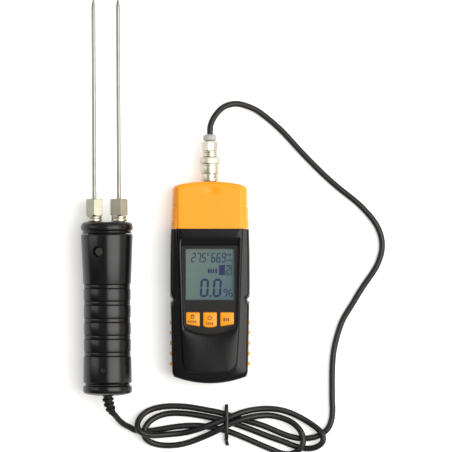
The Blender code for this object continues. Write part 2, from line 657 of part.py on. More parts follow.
def make_plug():
    """Free half of the connector: the sleeve that turns, and the body, clamp nut and cone behind it."""
    axis = add_empty("plug_axis", (0, CAP_TOP, PLUG_HEIGHT))
    mouth = 0.0004
    step_one, step_two, knurl = mouth + 0.0056, SLEEVE_LENGTH - 0.0052, SLEEVE_LENGTH + 0.0003
    chamber_low, chamber_high = 0.0101, 0.0133
    outer = [(SLEEVE_RADIUS, mouth), (SLEEVE_RADIUS, step_one), (SLEEVE_RADIUS - 0.0003, step_one + 0.0002),
             (SLEEVE_RADIUS + 0.00045, step_one + 0.0005), (SLEEVE_RADIUS + 0.00045, step_two - 0.0004),
             (SLEEVE_RADIUS + 0.0001, step_two - 0.0002), (SLEEVE_RADIUS + 0.0001, step_two),
             (SLEEVE_RADIUS + 0.00095, step_two + 0.0003), (SLEEVE_RADIUS + 0.00095, knurl - 0.0004),
             (SLEEVE_RADIUS + 0.0005, knurl)]
    inner = [(SLEEVE_NECK, knurl), (SLEEVE_NECK, chamber_high), (SLEEVE_CHAMBER, chamber_high),
             (SLEEVE_CHAMBER, chamber_low), (SLEEVE_BORE, chamber_low), (SLEEVE_BORE, mouth)]
    sleeve = turned("bayonet_sleeve", outer + inner, nickel(), 24, parent=axis, closed=True)
    for index in range(2):
        angle = LUG_ANGLE + index * pi
        channel = add_object(f"bayonet_channel_{index}", bayonet_channel(angle), parent=axis)
        cut(sleeve, channel)
        drill = [(0, LUG_TIP - 0.0005), (0.0014, LUG_TIP - 0.0005), (0.0014, SLEEVE_RADIUS + 0.002),
                 (0, SLEEVE_RADIUS + 0.002)]
        hole = turned(f"detent_hole_{index}", drill, sides=12, axis="Z", origin=(0, LUG_FROM_CAP, 0),
                      parent=axis)
        hole.rotation_euler = (0, angle, 0)
        cut(sleeve, hole)
        half = LUG_RADIUS + LUG_FIT
        slot = block(f"mouth_slot_{index}", (-half, -0.002, JACK_BORE),
                     (half, LUG_FROM_CAP + half, LUG_TIP + LUG_FIT), parent=axis)
        slot.rotation_euler = (0, angle - pi / 2, 0)
        cut(sleeve, slot)

    head = 0.0191
    clamp = head + 0.0048
    barrel, collar, stem = JACK_BORE - 0.00035, SLEEVE_CHAMBER - GAP, SLEEVE_NECK - 0.00035
    wide, bore = SLEEVE_RADIUS - 0.0006, INSULATOR_RADIUS + GAP
    flange_low, flange_high, tip = chamber_low + 0.0006, chamber_low + 0.0020, 0.0024
    body = [(barrel, tip), (barrel, flange_low), (collar, flange_low), (collar, flange_high),
            (stem, flange_high), (stem, head + GAP), (wide, head + GAP), (wide, clamp - 0.0006),
            (wide - 0.0004, clamp - GAP), (bore, clamp - GAP), (bore, tip)]
    turned("plug_body", body, nickel(), 24, parent=axis, closed=True)
    washer_low, washer_high = flange_high + GAP, chamber_high - GAP
    washer = [(stem + GAP, washer_low), (collar, washer_low), (collar, washer_high),
              (stem + GAP, washer_high)]
    turned("spring_washer", washer, steel(), 20, parent=axis, closed=True)
    core = INSULATOR_BORE + 0.00005
    insulator = [(core, 0.0064), (INSULATOR_RADIUS, 0.0064), (INSULATOR_RADIUS, 0.0150), (core, 0.0150)]
    turned("plug_insulator", insulator, white_insulator(), 16, parent=axis, closed=True)
    pin = [(0, 0.0018), (0.0003, 0.0018), (0.00055, 0.0026), (0.00055, 0.0062), (0.0010, 0.0066),
           (0.0010, 0.0180), (0, 0.0180)]
    turned("plug_pin", pin, finish_material("gold", (0.85, 0.62, 0.25), 0.25, 1.0), 12, parent=axis)
    across = CLAMP_ACROSS_CORNERS / 2
    nut_end = clamp + CLAMP_LENGTH
    nut = [(CABLE_BORE, clamp), (across - 0.0006, clamp), (across, clamp + 0.0006),
           (across, nut_end - 0.0006), (across - 0.0006, nut_end), (CABLE_BORE, nut_end)]
    turned("clamp_nut", nut, nickel(), 8, parent=axis, closed=True, phase=pi / 8 + 0.10)
    cone_end = nut_end + GAP + CONE_LENGTH
    foot = across - 0.0009
    cone = [(CABLE_BORE, nut_end + GAP), (foot, nut_end + GAP), (foot - 0.0001, nut_end + 0.0020),
            (foot - 0.0007, cone_end), (CABLE_BORE + CONE_FLARE, cone_end)]
    turned("cable_cone", cone, grey_plastic(), 12, parent=axis, closed=True)


# ---------------------------------------------------------------- cable
def smooth_route(points, spacing):
    """Even points along a Catmull-Rom curve through the route's own points."""
    ends = [2 * points[0] - points[1]] + points + [2 * points[-1] - points[-2]]
    fine = []
    for a, b, c, d in zip(ends, ends[1:], ends[2:], ends[3:]):
        for step in range(24):
            t = step / 24
            fine.append(0.5 * ((2 * b) + (c - a) * t + (2 * a - 5 * b + 4 * c - d) * t * t
                               + (3 * b - a - 3 * c + d) * t ** 3))
    fine.append(points[-1])
    total = sum((b - a).length for a, b in zip(fine, fine[1:]))
    count = ceil(total / spacing)
    even, walked, target = [fine[0]], 0.0, total / count
    for a, b in zip(fine, fine[1:]):
        length = (b - a).length
        while walked + length >= target and len(even) < count:
            even.append(a + (b - a) * ((target - walked) / length))
            target += total / count
        walked += length
    even.append(fine[-1])
    return even


def tube(name, points, radius, material):
    """A cable stretch: a bevelled curve with filled ends."""
    curve = bpy.data.curves.new(name, "CURVE")
    curve.dimensions = "3D"
    curve.bevel_depth = radius
    curve.bevel_resolution = 2
    curve.use_fill_caps = True
    curve.resolution_u = 1
    spline = curve.splines.new("POLY")
    spline.points.add(len(points) - 1)
    for slot, point in zip(spline.points, points):
        slot.co = (*point, 1)
    curve.materials.append(material)
    thing = bpy.data.objects.new(name, curve)
    bpy.context.scene.collection.objects.link(thing)


def route(points):
    return [Vector(point) * 0.001 for point in points]


# The lead's way from the plug to the hank, in millimetres: (x, y, height of its middle).
RUN_ROUTE = [
    (0.0, 112.8, 13.7), (0.0, 116.2, 13.7), (0.1, 119.8, 13.6), (1.5, 125.0, 12.7), (5.5, 131.4, 10.9),
    (11.4, 136.6, 8.9), (20.2, 138.8, 6.6), (27.7, 137.4, 5.0), (35.1, 134.4, 3.9), (42.6, 129.3, 3.0),
    (54.9, 118.7, 2.5), (66.7, 106.1, 2.4), (78.6, 93.5, 2.4), (90.4, 82.0, 2.4), (102.3, 71.7, 2.4),
    (114.2, 62.2, 2.4), (122.1, 54.3, 2.4), (128.4, 46.4, 2.4), (132.8, 36.9, 2.4), (133.9, 27.4, 2.4),
    (132.3, 19.3, 2.4), (128.7, 10.9, 2.4), (122.4, 1.5, 2.4), (116.1, -7.9, 2.4), (109.8, -18.4, 2.4),
    (103.5, -28.9, 2.4), (99.3, -40.4, 2.4), (96.7, -50.9, 2.4), (95.4, -61.4, 2.4), (95.0, -71.8, 2.4),
    (95.0, -82.3, 2.4), (95.1, -92.8, 2.4), (95.3, -100.1, 2.4), (94.4, -107.5, 2.4), (92.6, -111.9, 2.4),
]
TAIL_ROUTE = [
    (-75.2, -101.3, 15.4), (-73.7, -102.8, 13.6), (-71.4, -105.9, 10.6), (-68.6, -108.9, 7.4),
    (-65.2, -111.4, 4.6), (-62.2, -112.9, 3.1), (-60.0, -113.6, 2.6),
]
HANK_LEFT, HANK_RIGHT = -0.0590, 0.0902
HANK_MIDDLE = -0.1147
HANK_HALF = 0.0210
TIE_X, TIE_Y = 0.0124, -0.1096  # where the tie draws the strands together
HANK_WAIST = 0.0130


def hank_outline():
    """Outline of the tied figure-eight: two round ends drawn in to a waist under the tie."""
    points = []
    reach_right, reach_left = HANK_RIGHT - HANK_HALF, HANK_LEFT + HANK_HALF
    for step in range(9):
        angle = pi / 2 - pi * step / 8
        points.append((reach_right + HANK_HALF * cos(angle), HANK_MIDDLE + HANK_HALF * sin(angle)))
    points += [(TIE_X + 0.020, HANK_MIDDLE - HANK_HALF * 0.85), (TIE_X + 0.003, TIE_Y - HANK_WAIST),
               (TIE_X - 0.003, TIE_Y - HANK_WAIST), (TIE_X - 0.020, HANK_MIDDLE - HANK_HALF * 0.85)]
    for step in range(9):
        angle = -pi / 2 - pi * step / 8
        points.append((reach_left + HANK_HALF * cos(angle), HANK_MIDDLE + HANK_HALF * sin(angle)))
    points += [(TIE_X - 0.020, HANK_MIDDLE + HANK_HALF * 0.85), (TIE_X - 0.003, TIE_Y + HANK_WAIST),
               (TIE_X + 0.003, TIE_Y + HANK_WAIST), (TIE_X + 0.020, HANK_MIDDLE + HANK_HALF * 0.85)]
    return points


def make_cable():
    """The lead: a free run from the plug, a tied hank and a short tail to the probe."""
    radius = CABLE_DIAMETER / 2
    tube("cable_run", smooth_route(route(RUN_ROUTE), 2.4 * CABLE_DIAMETER), radius, cable_rubber())
    tube("cable_tail", smooth_route(route(TAIL_ROUTE), 1.6 * CABLE_DIAMETER), radius, cable_rubber())
    prism("cable_hank", hank_outline(), 0.0001, HANK_HEIGHT, cable_rubber())
    inner, outer = HANK_WAIST + GAP, HANK_WAIST + GAP + TIE_THICKNESS
    top = HANK_HEIGHT + GAP
    foot, crown = 0.0004, top + TIE_THICKNESS
    saddle = [(-outer, foot), (-inner, foot), (-inner, top), (inner, top), (inner, foot), (outer, foot),
              (outer, crown), (-outer, crown)]
    sections = [[(TIE_X + side * TIE_WIDTH / 2, TIE_Y + y, z) for y, z in saddle] for side in (-1, 1)]
    lofted("cable_tie", sections, cable_rubber())


# ---------------------------------------------------------------- probe
def make_probe():
    """The two-pin probe: a hollow turned handle, its end pieces, the pins and what holds them."""
    frame = add_empty("probe_axis", (PROBE_X, 0, HANDLE_RADIUS), PROBE_LEAN)
    radius = HANDLE_RADIUS
    slim = radius - HANDLE_WAIST
    shell_top, shell_low = HANDLE_TOP - HANDLE_HEAD, HANDLE_END + 0.0094
    grooves = [shell_top - place for place in (0.0404, 0.0532, 0.0665, 0.0795, 0.0927)]
    profile = [(radius - 0.0006, shell_top), (radius - 0.0001, shell_top - 0.0012),
               (slim + 0.0003, shell_top - 0.0370)]
    for place in grooves:
        profile += [(slim - 0.0001, place + 0.0018), (slim - HANDLE_GROOVE, place + 0.0008),
                    (slim - HANDLE_GROOVE, place - 0.0008), (slim, place - 0.0018)]
    profile += [(slim + 0.0006, shell_low + 0.0006), (slim, shell_low),
                (HANDLE_BORE, shell_low), (HANDLE_BORE, shell_top)]
    shell = turned("handle_shell", profile, black_plastic(), 32, parent=frame, closed=True)

    spigot = 0.0070
    bore_fit = HANDLE_BORE - GAP
    top_low = shell_top + GAP
    seat_low = top_low + 0.0012
    clear = PIN_RADIUS + GAP
    top = [(0, HANDLE_TOP), (radius - 0.0036, HANDLE_TOP), (radius - 0.0012, HANDLE_TOP - 0.0010),
           (radius - 0.0002, HANDLE_TOP - 0.0032), (radius, HANDLE_TOP - 0.0052),
           (radius - 0.0004, HANDLE_TOP - 0.0066), (radius - 0.0013, HANDLE_TOP - 0.0073),
           (radius - 0.0009, top_low + 0.0006), (radius - 0.0014, top_low), (bore_fit, top_low),
           (bore_fit, top_low - spigot), (0, top_low - spigot)]
    head = turned("handle_top", top, black_plastic(), 32, parent=frame)

    end_top = shell_low - GAP
    last = slim + 0.0009
    end = [(0, end_top + spigot), (bore_fit, end_top + spigot), (bore_fit, end_top),
           (last - 0.0018, end_top), (last - 0.0018, end_top - 0.0014), (last, end_top - 0.0022),
           (last, end_top - 0.0058),
           (last - 0.0008, end_top - 0.0072), (last - 0.0044, HANDLE_END + 0.0006),
           (last - 0.0085, HANDLE_END), (0, HANDLE_END)]
    tail = turned("handle_end", end, black_plastic(), 32, parent=frame)
    wire_bore = [(0, end_top + 0.010), (0.0030, end_top + 0.010), (0.0030, HANDLE_END - 0.002),
                 (0, HANDLE_END - 0.002)]
    cut(tail, turned("wire_bore", wire_bore, sides=12, parent=frame))

    block_top = top_low - spigot - GAP
    block_low = block_top - 0.0130
    plate = [(0, block_top), (bore_fit, block_top), (bore_fit, block_low), (0, block_low)]
    block_part = turned("pin_block", plate, white_insulator(), 24, parent=frame)
    nut_low = HANDLE_TOP + COLLAR_PROUD
    pin_foot = block_low - 0.0060
    for side, name, turn in ((-1, "left", 0.0), (1, "right", radians(11.8))):
        x = side * PIN_PITCH / 2
        above, seat = HANDLE_TOP + 0.010, COLLAR_SHANK + GAP
        hole = [(0, above), (seat, above), (seat, seat_low), (clear, seat_low), (clear, block_top - GAP),
                (0, block_top - GAP)]
        cut(head, turned(f"collar_seat_{name}", hole, sides=16, origin=(x, 0, 0), parent=frame, phase=0.1))
        shaft = [(0, block_top + 0.003), (clear, block_top + 0.003), (clear, block_low - 0.003),
                 (0, block_low - 0.003)]
        cut(block_part, turned(f"pin_bore_{name}", shaft, sides=12, origin=(x, 0, 0), parent=frame,
                               phase=0.1))
        collar = [(clear, nut_low - GAP), (COLLAR_RADIUS, nut_low - GAP), (COLLAR_RADIUS, HANDLE_TOP + GAP),
                  (COLLAR_SHANK, HANDLE_TOP + GAP), (COLLAR_SHANK, seat_low + GAP),
                  (clear, seat_low + GAP)]
        turned(f"pin_collar_{name}", collar, nickel(), 20, origin=(x, 0, 0), parent=frame, closed=True)
        across = NUT_ACROSS_CORNERS / 2
        nut = [(clear, nut_low), (across - 0.0007, nut_low), (across, nut_low + 0.0006),
               (across, nut_low + NUT_HEIGHT - 0.0006), (across - 0.0007, nut_low + NUT_HEIGHT),
               (clear, nut_low + NUT_HEIGHT)]
        turned(f"hex_nut_{name}", nut, nickel(), 6, origin=(x, 0, 0), parent=frame, closed=True,
               phase=pi / 6 + turn)
        pin = [(0, PIN_TIP), (PIN_RADIUS * 0.35, PIN_TIP - PIN_CONE * 0.18), (PIN_RADIUS, PIN_TIP - PIN_CONE),
               (PIN_RADIUS, pin_foot), (0, pin_foot)]
        turned(f"pin_{name}", pin, steel(), 14, origin=(x, 0, 0), parent=frame)
        lug_top = block_low - GAP
        rim = clear + (HANDLE_BORE - PIN_PITCH / 2 - clear) * WIRE_LUG_SHARE
        lug = [(clear, lug_top), (rim, lug_top), (rim, lug_top - 0.0008), (clear, lug_top - 0.0008)]
        turned(f"wire_lug_{name}", lug, nickel(), 12, origin=(x, 0, 0), parent=frame, closed=True)
    make_handle_screws(frame, shell, shell_top)


def make_handle_screws(frame, shell, shell_top):
    """A large and a small cross-head screw, from above, that hold the end pieces in the shell."""
    for name, x, place, bore, head, depth in (
            ("handle_screw_upper", -0.0072, shell_top - 0.0136, 0.0041, 0.0030, 0.0022),
            ("handle_screw_lower", -0.0038, HANDLE_END + 0.0199, 0.0024, 0.0020, 0.0012)):
        lean = atan2(x, HANDLE_RADIUS)
        floor = HANDLE_RADIUS - 0.0024 - depth
        profile = [(0, floor), (head, floor), (head, floor + 0.0010), (head * 0.6, floor + 0.0016),
                   (0, floor + 0.0016)]
        screw = turned(name, profile, steel(), 16, axis="Z", origin=(0, place, 0), parent=frame)
        screw.rotation_euler = (0, lean, 0)
        outside = HANDLE_RADIUS + 0.004
        hole = [(0, floor - GAP), (bore, floor - GAP), (bore, outside), (0, outside)]
        tool = turned(f"bore_{name}", hole, sides=20, axis="Z", origin=(0, place, 0), parent=frame)
        tool.rotation_euler = (0, lean, 0)
        cut(shell, tool)


def make_boot():
    """The moulded strain relief: a tapering, three-ribbed sleeve that bends down towards the table."""
    start = Vector((PROBE_X - HANDLE_END * sin(PROBE_LEAN), HANDLE_END - GAP - 0.0002, HANDLE_RADIUS))
    bend = start + Vector((0.0002, -0.0073, -0.0004))
    finish = start + Vector((0.0035, -0.0133, -0.0042))
    profile = [(0.00, 1.00), (0.20, 1.00), (0.24, 0.84), (0.32, 0.84), (0.36, 0.97), (0.54, 0.93),
               (0.58, 0.78), (0.66, 0.78), (0.70, 0.88), (0.94, 0.82), (1.00, 0.66)]
    sections = []
    for share, size in profile:
        point = start * (1 - share) ** 2 + bend * 2 * share * (1 - share) + finish * share ** 2
        along = ((bend - start) * (1 - share) + (finish - bend) * share).normalized()
        side = along.cross(Vector((0, 0, 1))).normalized()
        up = side.cross(along)
        radius = BOOT_RADIUS * size
        sections.append([point + (side * cos(2 * pi * step / 14) + up * sin(2 * pi * step / 14)) * radius
                         for step in range(14)])
    lofted("strain_relief", sections, cable_rubber())


def main():
    clear_scene()
    front, back = make_shells()
    make_screws(front, back)
    make_cap()
    make_front_panel(front)
    make_display()
    make_board()
    make_keys()
    make_side_grips(front)
    make_battery_bay(back)
    make_jack()
    make_plug()
    make_cable()
    make_probe()
    make_boot()


main()
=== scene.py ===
from math import cos, pi, radians, sin

import bmesh
import bpy
import numpy as np
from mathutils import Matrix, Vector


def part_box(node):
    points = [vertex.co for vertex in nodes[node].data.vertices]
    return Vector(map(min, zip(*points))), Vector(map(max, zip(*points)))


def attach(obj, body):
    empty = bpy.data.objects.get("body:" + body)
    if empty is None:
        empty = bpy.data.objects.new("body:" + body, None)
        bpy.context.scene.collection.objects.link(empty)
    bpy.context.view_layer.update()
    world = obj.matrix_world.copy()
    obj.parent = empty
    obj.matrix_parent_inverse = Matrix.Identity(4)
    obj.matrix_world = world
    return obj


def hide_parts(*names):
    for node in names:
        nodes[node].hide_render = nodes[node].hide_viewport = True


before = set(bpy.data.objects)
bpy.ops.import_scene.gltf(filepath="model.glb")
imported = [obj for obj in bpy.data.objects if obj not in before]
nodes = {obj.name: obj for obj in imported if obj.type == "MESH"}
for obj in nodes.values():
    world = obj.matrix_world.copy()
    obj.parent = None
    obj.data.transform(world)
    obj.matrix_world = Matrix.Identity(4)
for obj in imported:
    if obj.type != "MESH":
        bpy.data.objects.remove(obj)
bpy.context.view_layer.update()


# ------------------------------------------------------------------ camera, table and lights
# The set lies on a pale table and is looked at from straight above, from three metres away with a long
# lens. A broad box light hangs over the right-hand side, with a weaker fill on the left.
VIEW_X, VIEW_Y = 0.0124, 0.0438
VIEW_WIDTH = 0.3503
CAMERA_HEIGHT = 3.0
SHARP_HEIGHT = 0.015        # the height at which the view is VIEW_WIDTH wide
SENSOR = 36.0

camera_data = bpy.data.cameras.new("camera")
camera_data.sensor_width = SENSOR
camera_data.lens = SENSOR * (CAMERA_HEIGHT - SHARP_HEIGHT) / VIEW_WIDTH
camera = bpy.data.objects.new("camera", camera_data)
camera.location = (VIEW_X, VIEW_Y, CAMERA_HEIGHT)
bpy.context.scene.collection.objects.link(camera)
bpy.context.scene.camera = camera

bpy.context.scene.view_settings.view_transform = "Standard"
bpy.context.scene.view_settings.look = "None"


def add_node(tree, kind, **values):
    """A node with its properties and its inputs set; socket names have their spaces as underscores."""
    node = tree.nodes.new(kind)
    for key, value in values.items():
        label = key.replace("_", " ")
        if label in node.inputs:
            node.inputs[label].default_value = value
        else:
            setattr(node, key, value)
    return node


# The room is bright on the right-hand side and towards the far end, and dark straight overhead.
world = bpy.data.worlds.new("studio")
world.use_nodes = True
room = world.node_tree
room_place = room.nodes.new("ShaderNodeTexCoord")
room_side = add_node(room, "ShaderNodeVectorMath", operation="DOT_PRODUCT")
room_side.inputs[1].default_value = (0.66, 0.38, 0.65)
room_glow = add_node(room, "ShaderNodeMapRange", interpolation_type="SMOOTHSTEP",
                     From_Min=-0.35, From_Max=0.95, To_Min=0.14, To_Max=0.85)
room_split = room.nodes.new("ShaderNodeSeparateXYZ")
room_hole = add_node(room, "ShaderNodeMapRange", interpolation_type="SMOOTHSTEP",
                     From_Min=0.86, From_Max=0.985, To_Min=1.0, To_Max=0.22)
room_level = add_node(room, "ShaderNodeMath", operation="MULTIPLY")
room.links.new(room_place.outputs["Generated"], room_side.inputs[0])
room.links.new(room_place.outputs["Generated"], room_split.inputs[0])
room.links.new(room_side.outputs["Value"], room_glow.inputs["Value"])
room.links.new(room_split.outputs["Z"], room_hole.inputs["Value"])
room.links.new(room_glow.outputs[0], room_level.inputs[0])
room.links.new(room_hole.outputs[0], room_level.inputs[1])
room.links.new(room_level.outputs[0], room.nodes["Background"].inputs["Strength"])
room.nodes["Background"].inputs["Color"].default_value = (1.0, 0.985, 0.95, 1.0)
bpy.context.scene.world = world


def box_light(name, place, target, size, power, colour):
    """A flat rectangular lamp at place, turned so that its face looks at target."""
    lamp = bpy.data.lights.new(name, "AREA")
    lamp.shape = "RECTANGLE"
    lamp.size, lamp.size_y = size
    lamp.energy = power
    lamp.color = colour
    holder = bpy.data.objects.new(name, lamp)
    holder.location = place
    backwards = holder.location - type(holder.location)(target)
    holder.rotation_euler = backwards.to_track_quat("Z", "Y").to_euler()
    bpy.context.scene.collection.objects.link(holder)


box_light("key_box", (0.95, 0.05, 1.60), (0.0, 0.03, 0.0), (1.25, 2.0), 38.0, (1.0, 0.985, 0.955))
box_light("left_fill", (-1.5, 0.25, 0.75), (0.0, 0.03, 0.0), (0.5, 1.2), 5.0, (0.97, 0.985, 1.0))


def surface(name, points, faces, smooth=True, sharp=None):
    """One mesh from an array of points and an array or list of faces; edges over sharp degrees stay crisp."""
    mesh = bpy.data.meshes.new(name)
    mesh.from_pydata(np.asarray(points, dtype=float).reshape(-1, 3), [],
                     faces if isinstance(faces, list) else faces.tolist())
    mesh.polygons.foreach_set("use_smooth", np.full(len(mesh.polygons), smooth))
    if smooth and sharp:
        mesh.set_sharp_from_angle(angle=radians(sharp))
    piece = bpy.data.objects.new(name, mesh)
    bpy.context.scene.collection.objects.link(piece)
    return piece


def grid_quads(rows, columns, closed=False):
    """The quads of a grid of rows x columns points; closed joins the last column to the first."""
    row = np.arange(rows - 1)[:, None]
    column = np.arange(columns if closed else columns - 1)[None, :]
    following = (column + 1) % columns
    corners = (row * columns + column, row * columns + following,
               (row + 1) * columns + following, (row + 1) * columns + column)
    return np.stack([np.broadcast_to(c, (rows - 1, column.shape[1])) for c in corners], -1).reshape(-1, 4)


def new_material(name):
    """An empty material, its node tree and the shader in it."""
    made = bpy.data.materials.new(name)
    made.use_nodes = True
    return made, made.node_tree, made.node_tree.nodes["Principled BSDF"]


TABLE_HALF = 1.6
TABLE_TOP = -0.0004
table_lines = np.linspace(-TABLE_HALF, TABLE_HALF, 9)
table_x, table_y = np.meshgrid(table_lines, table_lines)
table = surface("table", np.stack([table_x, table_y, np.full_like(table_x, TABLE_TOP)], -1), grid_quads(9, 9))
table_paint, _, table_shader = new_material("table_paint")
table_shader.inputs["Base Color"].default_value = (0.93, 0.925, 0.91, 1.0)
table_shader.inputs["Roughness"].default_value = 0.6
table_shader.inputs["Emission Color"].default_value = (1.0, 0.995, 0.985, 1.0)
table_shader.inputs["Emission Strength"].default_value = 0.30
table.data.materials.append(table_paint)


# ------------------------------------------------------------------ the lead
# A round rubber-jacketed coaxial lead, a little under 5 mm thick and moulded in black. It leaves the plug,
# lies on the table, is wound into a figure-eight under a tie, and ends in the probe's strain relief.
LEAD_DIAMETER = 0.0047
RUN_POINTS = [
    (0.0, 112.8, 13.7), (0.0, 116.2, 13.7), (0.1, 119.8, 13.6), (1.5, 125.0, 12.7), (5.5, 131.4, 10.9),
    (11.4, 136.6, 8.9), (20.2, 138.8, 6.6), (27.7, 137.4, 5.0), (35.1, 134.4, 3.9), (42.6, 129.3, 3.0),
    (54.9, 118.7, 2.5), (66.7, 106.1, 2.4), (78.6, 93.5, 2.4), (90.4, 82.0, 2.4), (102.3, 71.7, 2.4),
    (114.2, 62.2, 2.4), (122.1, 54.3, 2.4), (128.4, 46.4, 2.4), (132.8, 36.9, 2.4), (133.9, 27.4, 2.4),
    (132.3, 19.3, 2.4), (128.7, 10.9, 2.4), (122.4, 1.5, 2.4), (116.1, -7.9, 2.4), (109.8, -18.4, 2.4),
    (103.5, -28.9, 2.4), (99.3, -40.4, 2.4), (96.7, -50.9, 2.4), (95.4, -61.4, 2.4), (95.0, -71.8, 2.4),
    (95.0, -82.3, 2.4), (95.1, -92.8, 2.4), (95.3, -100.1, 2.4), (94.4, -107.5, 2.4),
]
HANK_POINTS = [
    (91.9, -113.5, 2.4), (86.4, -118.4, 2.4), (79.0, -121.0, 2.4), (69.8, -121.4, 2.4),
    (61.2, -119.6, 2.4), (51.1, -115.6, 2.4), (40.3, -111.2, 2.4), (31.0, -108.5, 2.4),
    (23.2, -106.2, 2.4), (15.5, -103.7, 2.4), (7.0, -101.3, 2.4), (-3.1, -99.3, 2.4), (-15.9, -97.1, 2.4),
    (-28.8, -96.3, 2.4), (-39.0, -97.2, 2.4), (-48.1, -100.0, 3.2), (-53.9, -104.6, 6.0),
    (-56.4, -110.0, 9.2), (-55.2, -114.7, 11.2), (-50.8, -117.6, 11.0), (-44.2, -118.8, 8.0),
    (-35.6, -118.5, 4.6), (-27.1, -117.9, 2.9), (-19.4, -116.9, 3.2), (-11.6, -114.9, 5.4),
    (-4.7, -112.5, 7.1), (2.3, -109.9, 7.4), (9.8, -107.0, 7.3), (17.1, -104.1, 7.3), (24.0, -101.4, 6.2),
    (31.0, -99.6, 4.2), (40.7, -98.4, 2.6), (50.9, -98.7, 2.4), (61.2, -101.1, 2.4), (72.5, -106.4, 2.7),
    (81.4, -112.1, 4.6), (87.0, -117.8, 7.0), (87.6, -123.6, 7.1), (82.5, -128.1, 5.4),
    (74.4, -129.3, 3.2), (65.9, -127.4, 2.4), (57.4, -124.2, 2.4), (45.7, -120.0, 2.4),
    (34.9, -115.8, 2.4), (25.6, -112.3, 2.4), (17.1, -109.4, 2.4), (8.5, -107.0, 2.4), (-0.8, -105.0, 2.4),
    (-10.8, -103.2, 2.4), (-23.6, -101.9, 2.4), (-34.5, -102.5, 2.6), (-43.0, -105.5, 4.0),
    (-48.6, -110.0, 6.2), (-51.1, -115.1, 7.1), (-50.8, -120.1, 6.6), (-46.5, -124.2, 4.4),
    (-38.8, -126.6, 2.6), (-28.8, -126.9, 2.4), (-17.8, -125.0, 2.4), (-7.8, -121.4, 2.8),
    (0.0, -118.0, 5.0), (7.0, -114.4, 7.2), (15.0, -110.2, 7.4), (20.2, -108.1, 7.4), (25.6, -106.3, 7.2),
    (31.0, -104.9, 6.4), (37.2, -104.0, 4.6), (45.8, -103.6, 2.8), (56.1, -105.7, 2.6),
    (64.3, -109.4, 4.2), (70.2, -115.4, 6.7), (72.4, -122.2, 7.2), (70.5, -128.6, 7.2),
    (64.7, -132.9, 5.2), (57.0, -133.4, 2.9), (48.8, -130.4, 2.4), (40.3, -126.9, 2.4),
    (31.0, -122.8, 2.4), (22.5, -119.2, 2.4), (14.7, -116.2, 2.4), (6.2, -114.0, 2.4), (-3.9, -112.1, 2.4),
    (-15.9, -111.5, 2.4), (-28.8, -112.7, 2.4), (-41.1, -114.8, 2.4), (-49.6, -115.8, 2.4),
    (-55.8, -115.6, 2.4),
]
TAIL_POINTS = [
    (-60.0, -114.3, 2.6), (-62.2, -112.9, 3.1), (-65.2, -111.4, 4.6), (-68.6, -108.9, 7.4),
    (-71.4, -105.9, 10.6), (-73.7, -102.8, 13.6), (-75.2, -101.3, 15.4),
]


def smooth_path(points, spacing):
    """A natural cubic spline through the points, with square-root chord steps, read at even spacing."""
    given = np.asarray(points, float)
    step = np.sqrt(np.linalg.norm(np.diff(given, axis=0), axis=1))
    knot = np.concatenate([[0], np.cumsum(step)])
    count = len(given)
    inner = np.arange(1, count - 1)
    system = np.eye(count)
    system[inner, inner - 1] = step[:-1]
    system[inner, inner] = 2 * (step[:-1] + step[1:])
    system[inner, inner + 1] = step[1:]
    slope = np.diff(given, axis=0) / step[:, None]
    bend = np.zeros_like(given)
    bend[inner] = 6 * np.diff(slope, axis=0)
    second = np.linalg.solve(system, bend)
    at = np.linspace(0, knot[-1], 60 * count)
    span = np.clip(np.searchsorted(knot, at, side="right") - 1, 0, count - 2)
    left = ((knot[span + 1] - at) / step[span])[:, None]
    right = 1 - left
    curve = left * given[span] + right * given[span + 1]
    curve += ((left ** 3 - left) * second[span] + (right ** 3 - right) * second[span + 1]) * (
        step[span] ** 2)[:, None] / 6
    walked = np.concatenate([[0], np.cumsum(np.linalg.norm(np.diff(curve, axis=0), axis=1))])
    even = np.linspace(0, walked[-1], int(round(walked[-1] / spacing)) + 1)
    return np.stack([np.interp(even, walked, curve[:, axis]) for axis in range(3)], 1)


def sweep(name, path, profile_radius, sides):
    """A tube: at each path point a ring in the plane square to the path, whose side vector is the path's
    direction crossed with up; each end is closed by a fan to the path's own end."""
    along = np.gradient(path, axis=0)
    along /= np.linalg.norm(along, axis=1)[:, None]
    side = np.cross(along, (0.0, 0.0, 1.0))
    side /= np.linalg.norm(side, axis=1)[:, None]
    up = np.cross(side, along)
    angle = 2 * pi * np.arange(sides) / sides
    ring = np.cos(angle)[None, :, None] * side[:, None] + np.sin(angle)[None, :, None] * up[:, None]
    radius = np.broadcast_to(profile_radius, (len(path),))
    points = path[:, None] + ring * radius[:, None, None]
    count = len(path)
    faces = grid_quads(count, sides, closed=True)[:, ::-1]
    centre = count * sides
    turn = np.arange(sides)
    following = (turn + 1) % sides
    first = np.stack([np.full(sides, centre), turn, following], -1)
    rim = (count - 1) * sides
    last = np.stack([np.full(sides, centre + 1), rim + following, rim + turn], -1)
    everything = np.concatenate([points.reshape(-1, 3), path[:1], path[-1:]])
    return surface(name, everything, faces.tolist() + first.tolist() + last.tolist(), sharp=50)


def new_group(name, inputs, outputs):
    """An empty shader node group with named number, colour or vector sockets."""
    group = bpy.data.node_groups.new(name, "ShaderNodeTree")
    kinds = {"value": "NodeSocketFloat", "colour": "NodeSocketColor", "vector": "NodeSocketVector"}
    for label, kind in inputs:
        group.interface.new_socket(label, in_out="INPUT", socket_type=kinds[kind])
    for label, kind in outputs:
        group.interface.new_socket(label, in_out="OUTPUT", socket_type=kinds[kind])
    return group, group.nodes.new("NodeGroupInput"), group.nodes.new("NodeGroupOutput")


